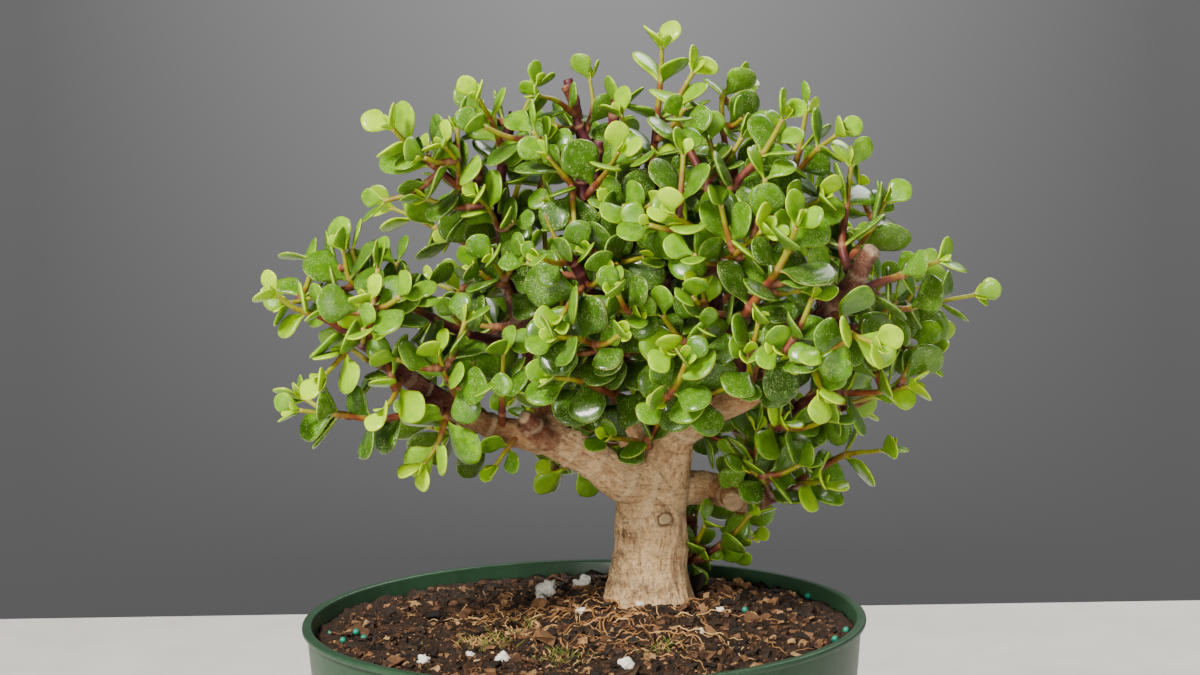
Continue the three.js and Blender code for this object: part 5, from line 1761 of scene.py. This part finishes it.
def stem_material():
    """Succulent stem: olive when young, then red-brown and purple, a pale ring at each node."""
    material, tree, shader = new_material("jade_stem", Specular_IOR_Level=0.35)
    place = object_place(tree)
    age, ring, cut = (value_of(tree, name) for name in ("age", "ring", "cut"))
    patch = noise_of(tree, place, 0.18, 3)
    skin = ramp_of(tree, varied(tree, age, patch, 0.18),
                   (0.14, STEM_OLIVE), (0.38, STEM_RUST), (0.64, STEM_MAROON), (1.0, STEM_PURPLE))
    streaks = noise_of(tree, place, 0.9, 5, 0.7)
    streaked = blended(tree, between(tree, streaks, 0.35, 0.8, 0.0, 0.4), skin, STEM_BLOOM)
    ringed = blended(tree, times(tree, ring, 0.55), streaked, STEM_RING)
    ended = blended(tree, cut, ringed, CUT_TAN)
    join(shader, Base_Color=ended, Roughness=between(tree, streaks, 0.2, 0.8, 0.34, 0.6),
         Normal=bump_of(tree, streaks, 0.25, 0.7))
    return material


def wood_material():
    """Bark: tan and cream on the trunk, brown and purple on thin limbs, drawn out along the grain."""
    material, tree, shader = new_material("bark", Specular_IOR_Level=0.3)
    thick, ring, scar, rough = (value_of(tree, name) for name in ("thick", "ring", "scar", "rough"))
    grain, place = vector_of(tree, "grain"), object_place(tree)
    level = stretched(tree, place, (0.12, 0.12, 1))
    fibres, bands = noise_of(tree, grain, 1.9, 6, 0.72), noise_of(tree, level, 0.7, 4, 0.7)
    patch, fine = noise_of(tree, place, 0.075, 4, 0.6), noise_of(tree, place, 0.75, 5, 0.75)
    size = varied(tree, between(tree, thick, 2.4, 7.2), patch, 0.18)
    share = between(tree, size, 0, 1, 0.25, 1.0)
    skin = ramp_of(
        tree, size, (0.0, WOOD_PURPLE), (0.25, WOOD_BROWN), (0.6, WOOD_TAN), (1.0, WOOD_CREAM))
    layers = (
        (between(tree, patch, 0.5, 0.64, 0.0, 0.45), WOOD_GREY),
        (between(tree, noise_of(tree, place, 0.16, 3), 0.52, 0.66, 0.0, 0.45), WOOD_RUST),
        (between(tree, fibres, 0.5, 0.63, 0.0, 0.68), WOOD_BROWN),
        (between(tree, fibres, 0.46, 0.3, 0.0, 0.7), WOOD_PALE),
        (between(tree, bands, 0.53, 0.68, 0.0, 0.45), WOOD_RUST),
        (between(tree, fine, 0.54, 0.64, 0.0, 0.62), WOOD_DARK),
        (between(tree, fine, 0.44, 0.34, 0.0, 0.6), WOOD_PALE),
    )
    for amount, colour in layers:
        skin = blended(tree, times(tree, amount, share), skin, colour)
    broken = times(tree, rough, between(tree, fine, 0.35, 0.55, 0.25, 0.95))
    cracked = blended(tree, broken, skin, WOOD_DARK)
    ringed = blended(tree, times(tree, ring, 0.35), cracked, WOOD_PALE)
    pruned = blended(tree, between(tree, scar, 0.0, 0.8), ringed, WOOD_CUT)
    grooved = blended(tree, between(tree, scar, 0.0, -0.8, 0.0, 0.85), pruned, WOOD_DARK)
    height = sums(tree, "SUBTRACT", sums(tree, "SUBTRACT", times(tree, fine, -0.8), fibres), bands)
    join(shader, Base_Color=grooved, Roughness=between(tree, fibres, 0.3, 0.7, 0.6, 0.85),
         Normal=bump_of(tree, height, 2.2))
    return material


def strand_material(name, *stops):
    """Thin strands whose colour differs from one to the next."""
    material, tree, shader = new_material(name, Specular_IOR_Level=0.3)
    place = object_place(tree)
    share = varied(tree, value_of(tree, "tint"), noise_of(tree, place, 0.5), 0.2)
    rough = between(tree, noise_of(tree, place, 1.5), 0.3, 0.7, 0.5, 0.8)
    join(shader, Base_Color=ramp_of(tree, share, *stops), Roughness=rough)
    return material


def grained_material(name, grain, stops, roughness, bump, wander=0, **sockets):
    """Colours in grains, with a bump; where parts have tints of their own, grains only vary them."""
    material, tree, shader = new_material(name, **sockets)
    grains = noise_of(tree, object_place(tree), *grain)
    share = varied(tree, value_of(tree, "tint"), grains, wander) if wander else grains
    join(shader, Base_Color=ramp_of(tree, share, *stops),
         Roughness=between(tree, grains, 0.3, 0.7, *roughness), Normal=bump_of(tree, grains, bump))
    return material


def pot_material():
    """Moulded plastic: dark green, satin, with faint flow marks and patches of dust."""
    material, tree, shader = new_material("green_plastic", IOR=1.48, Specular_IOR_Level=0.3)
    place = object_place(tree)
    flow = noise_of(tree, stretched(tree, place, (1, 1, 0.15)), 0.05, 3)
    scuff = noise_of(tree, place, 0.5, 5, 0.75)
    green = ramp_of(tree, flow, (0.3, POT_GREEN), (0.7, POT_LIGHT))
    dusty = blended(tree, between(tree, scuff, 0.55, 0.8, 0.0, 0.3), green, POT_DUST)
    join(shader, Base_Color=dusty, Roughness=between(tree, scuff, 0.3, 0.75, 0.3, 0.48),
         Normal=bump_of(tree, scuff, 0.05, 0.5))
    return material


# Stage

def camera_axes():
    """The camera's right, up and forward, pitched down and rolled a little."""
    forward = np.array([0, math.cos(CAMERA_PITCH), -math.sin(CAMERA_PITCH)])
    level = np.array([1.0, 0, 0])
    upright = np.cross(level, forward)
    across = math.cos(CAMERA_ROLL) * level - math.sin(CAMERA_ROLL) * upright
    up = math.sin(CAMERA_ROLL) * level + math.cos(CAMERA_ROLL) * upright
    return across, up, forward


def make_camera():
    data = bpy.data.cameras.new("camera")
    data.sensor_width = CAMERA_SENSOR
    data.lens = CAMERA_FOCAL
    data.clip_start, data.clip_end = CAMERA_CLIP
    made = added("camera", data)
    across, up, forward = camera_axes()
    turn = Matrix((across, up, -forward)).transposed()
    made.matrix_world = Matrix.Translation(Vector(CAMERA_PLACE) * MM) @ turn.to_4x4()
    bpy.context.scene.camera = made


def make_light(name, place, size, power, colour):
    """A soft box that faces the plant."""
    data = bpy.data.lights.new(name, "AREA")
    data.shape = "RECTANGLE"
    data.size, data.size_y = size
    data.energy = power
    data.color = colour
    made = added(name, data)
    made.location = place
    aim = Vector(LIGHTS_AIM) - made.location
    made.rotation_euler = aim.to_track_quat("-Z", "Y").to_euler()


def make_floor():
    """A pale cloth-covered table, which ends a little behind the pot as in the photograph."""
    low, high, half = FLOOR_FRONT, FLOOR_BACK, FLOOR_HALF
    mesh = bpy.data.meshes.new("floor")
    corners = [(-half, low, 0), (half, low, 0), (half, high, 0), (-half, high, 0)]
    mesh.from_pydata(corners, [], [(0, 1, 2, 3)])
    mesh.materials.append(grained_material(
        "floor", (0.02, 4, 0.65), ((0.35, CLOTH_SHADE), (0.65, CLOTH_PALE)), (0.8, 0.9), 0.2))
    added("floor", mesh)


def make_world():
    """A grey studio wall with a pool of light on it, in a room that is dark above."""
    world = bpy.data.worlds.new("studio")
    bpy.context.scene.world = world
    world.use_nodes = True
    tree = world.node_tree
    heading = add_node(tree, "TexCoord").outputs["Generated"]
    parts = add_node(tree, "SeparateXYZ", {0: heading}).outputs
    beside = between(tree, sums(tree, "ABSOLUTE", parts["X"]), 0.2, 0.02)
    ahead = between(tree, parts["Y"], 0, 0.5)
    raised = between(tree, parts["Z"], -0.2, 0.02)
    pool = times(tree, times(tree, beside, ahead), raised)
    foot = blended(tree, between(tree, parts["Z"], -0.25, 0.0), WALL_FOOT, WALL_EDGE)
    wall = blended(tree, pool, foot, WALL_LIT)
    grey = blended(tree, between(tree, parts["Z"], 0.12, 0.45), wall, ROOM_DARK)
    tree.links.new(grey, tree.nodes["Background"].inputs["Color"])


# The whole plant

def found_leaves():
    """The leaves of the solids, spray by spray."""
    found = {}
    for number, (name, stems) in enumerate(SPRAYS.items()):
        found[name] = standing_leaves(name, stems, 1 + number * SPRAY_SEEDS)
    return found


def grown_crowd(standing):
    """The room that the solids' leaves, the stems and the limbs take up."""
    crowd = Crowd()
    for leaves in standing.values():
        for _, _, pose in leaves:
            crowd.add(leaf_samples(pose))
    for stems in SPRAYS.values():
        for grown in stems:
            add_line(crowd, grown.path, STEM_PARTS, grown.root * STEM_ROOM)
    for points in LIMBS.values():
        path = np.array(points, float)
        add_line(crowd, path[:, :3], LIMB_PARTS, path[:, 3].min())
    return crowd


def make_sprays(standing, crowd, leaf, bark):
    """Each spray of fine stems and leaves, with small pairs."""
    draw = drawing(SPRAY_DRAWS)
    for number, (name, stems) in enumerate(SPRAYS.items()):
        leaves, wood = Shape(), Shape()
        for grown, _, pose in standing[name]:
            tint = draw((0, 1))
            add_leaf(leaves, pose, leaf_age_and_shade(pose, tint, resting(grown)), tint)
        for _, at, pose in standing[name]:
            wanted = draw((0, 1)) < AXIL_SHARE and pose.from_tip > 0
            if wanted and not hides_stub(leaf_tip(pose)):
                grow_small(leaves, axil_poses(pose, at, draw), crowd, draw)
        for k, grown in enumerate(stems):
            bud = grow_stem(wood, grown, 1 + number * SPRAY_SEEDS + k)
            if bud:
                grow_small(leaves, bud, None, draw)
        if leaves.count:
            piece("leaves_" + name, leaves, leaf, "foliage", "spray_" + name)
        piece("stems_" + name, wood, bark, "bark", "spray_" + name)


def make_twigs(standing, crowd, leaf, bark):
    """The twigs that fill the crown, a few in each piece."""
    twigs = filled_crown(crowd, standing)
    draw = drawing(TWIG_DRAWS)
    for first in range(0, len(twigs), TWIGS_IN_PIECE):
        leaves, wood = Shape(), Shape()
        for twig, seed, poses in twigs[first:first + TWIGS_IN_PIECE]:
            bud = grow_stem(wood, twig, seed)
            if draw((0, 1)) < TWIG_BUDS:
                grow_small(leaves, bud, None, draw)
            for pose in poses:
                tint = draw((0, 1))
                # painted shade: the twig's leaves are darkened as a resting stem's are, since the twigs
                # stand inside the crown
                add_leaf(leaves, pose, leaf_age_and_shade(pose, tint, TWIG_PAINTED_SHADE), tint)
        number = first // TWIGS_IN_PIECE
        piece(f"twig_leaves_{number}", leaves, leaf, "foliage")
        piece(f"twig_stems_{number}", wood, bark, "bark")


def make_stubs(bark):
    shape = Shape()
    for number, grown in enumerate(STUBS.values()):
        grow_stem(shape, grown, STUB_SEED + number)
    piece("cut_stubs", shape, bark, "bark")


make_camera()
make_floor()
make_world()
for name, light in LIGHTS.items():
    make_light(name, *light)

make_pot()
make_soil()
make_chips()
make_roots()
make_pebbles()
make_moss()
make_wood()
leaf, bark = leaf_material(), stem_material()
standing = found_leaves()
crowd = grown_crowd(standing)
make_sprays(standing, crowd, leaf, bark)
make_twigs(standing, crowd, leaf, bark)
make_stubs(bark)
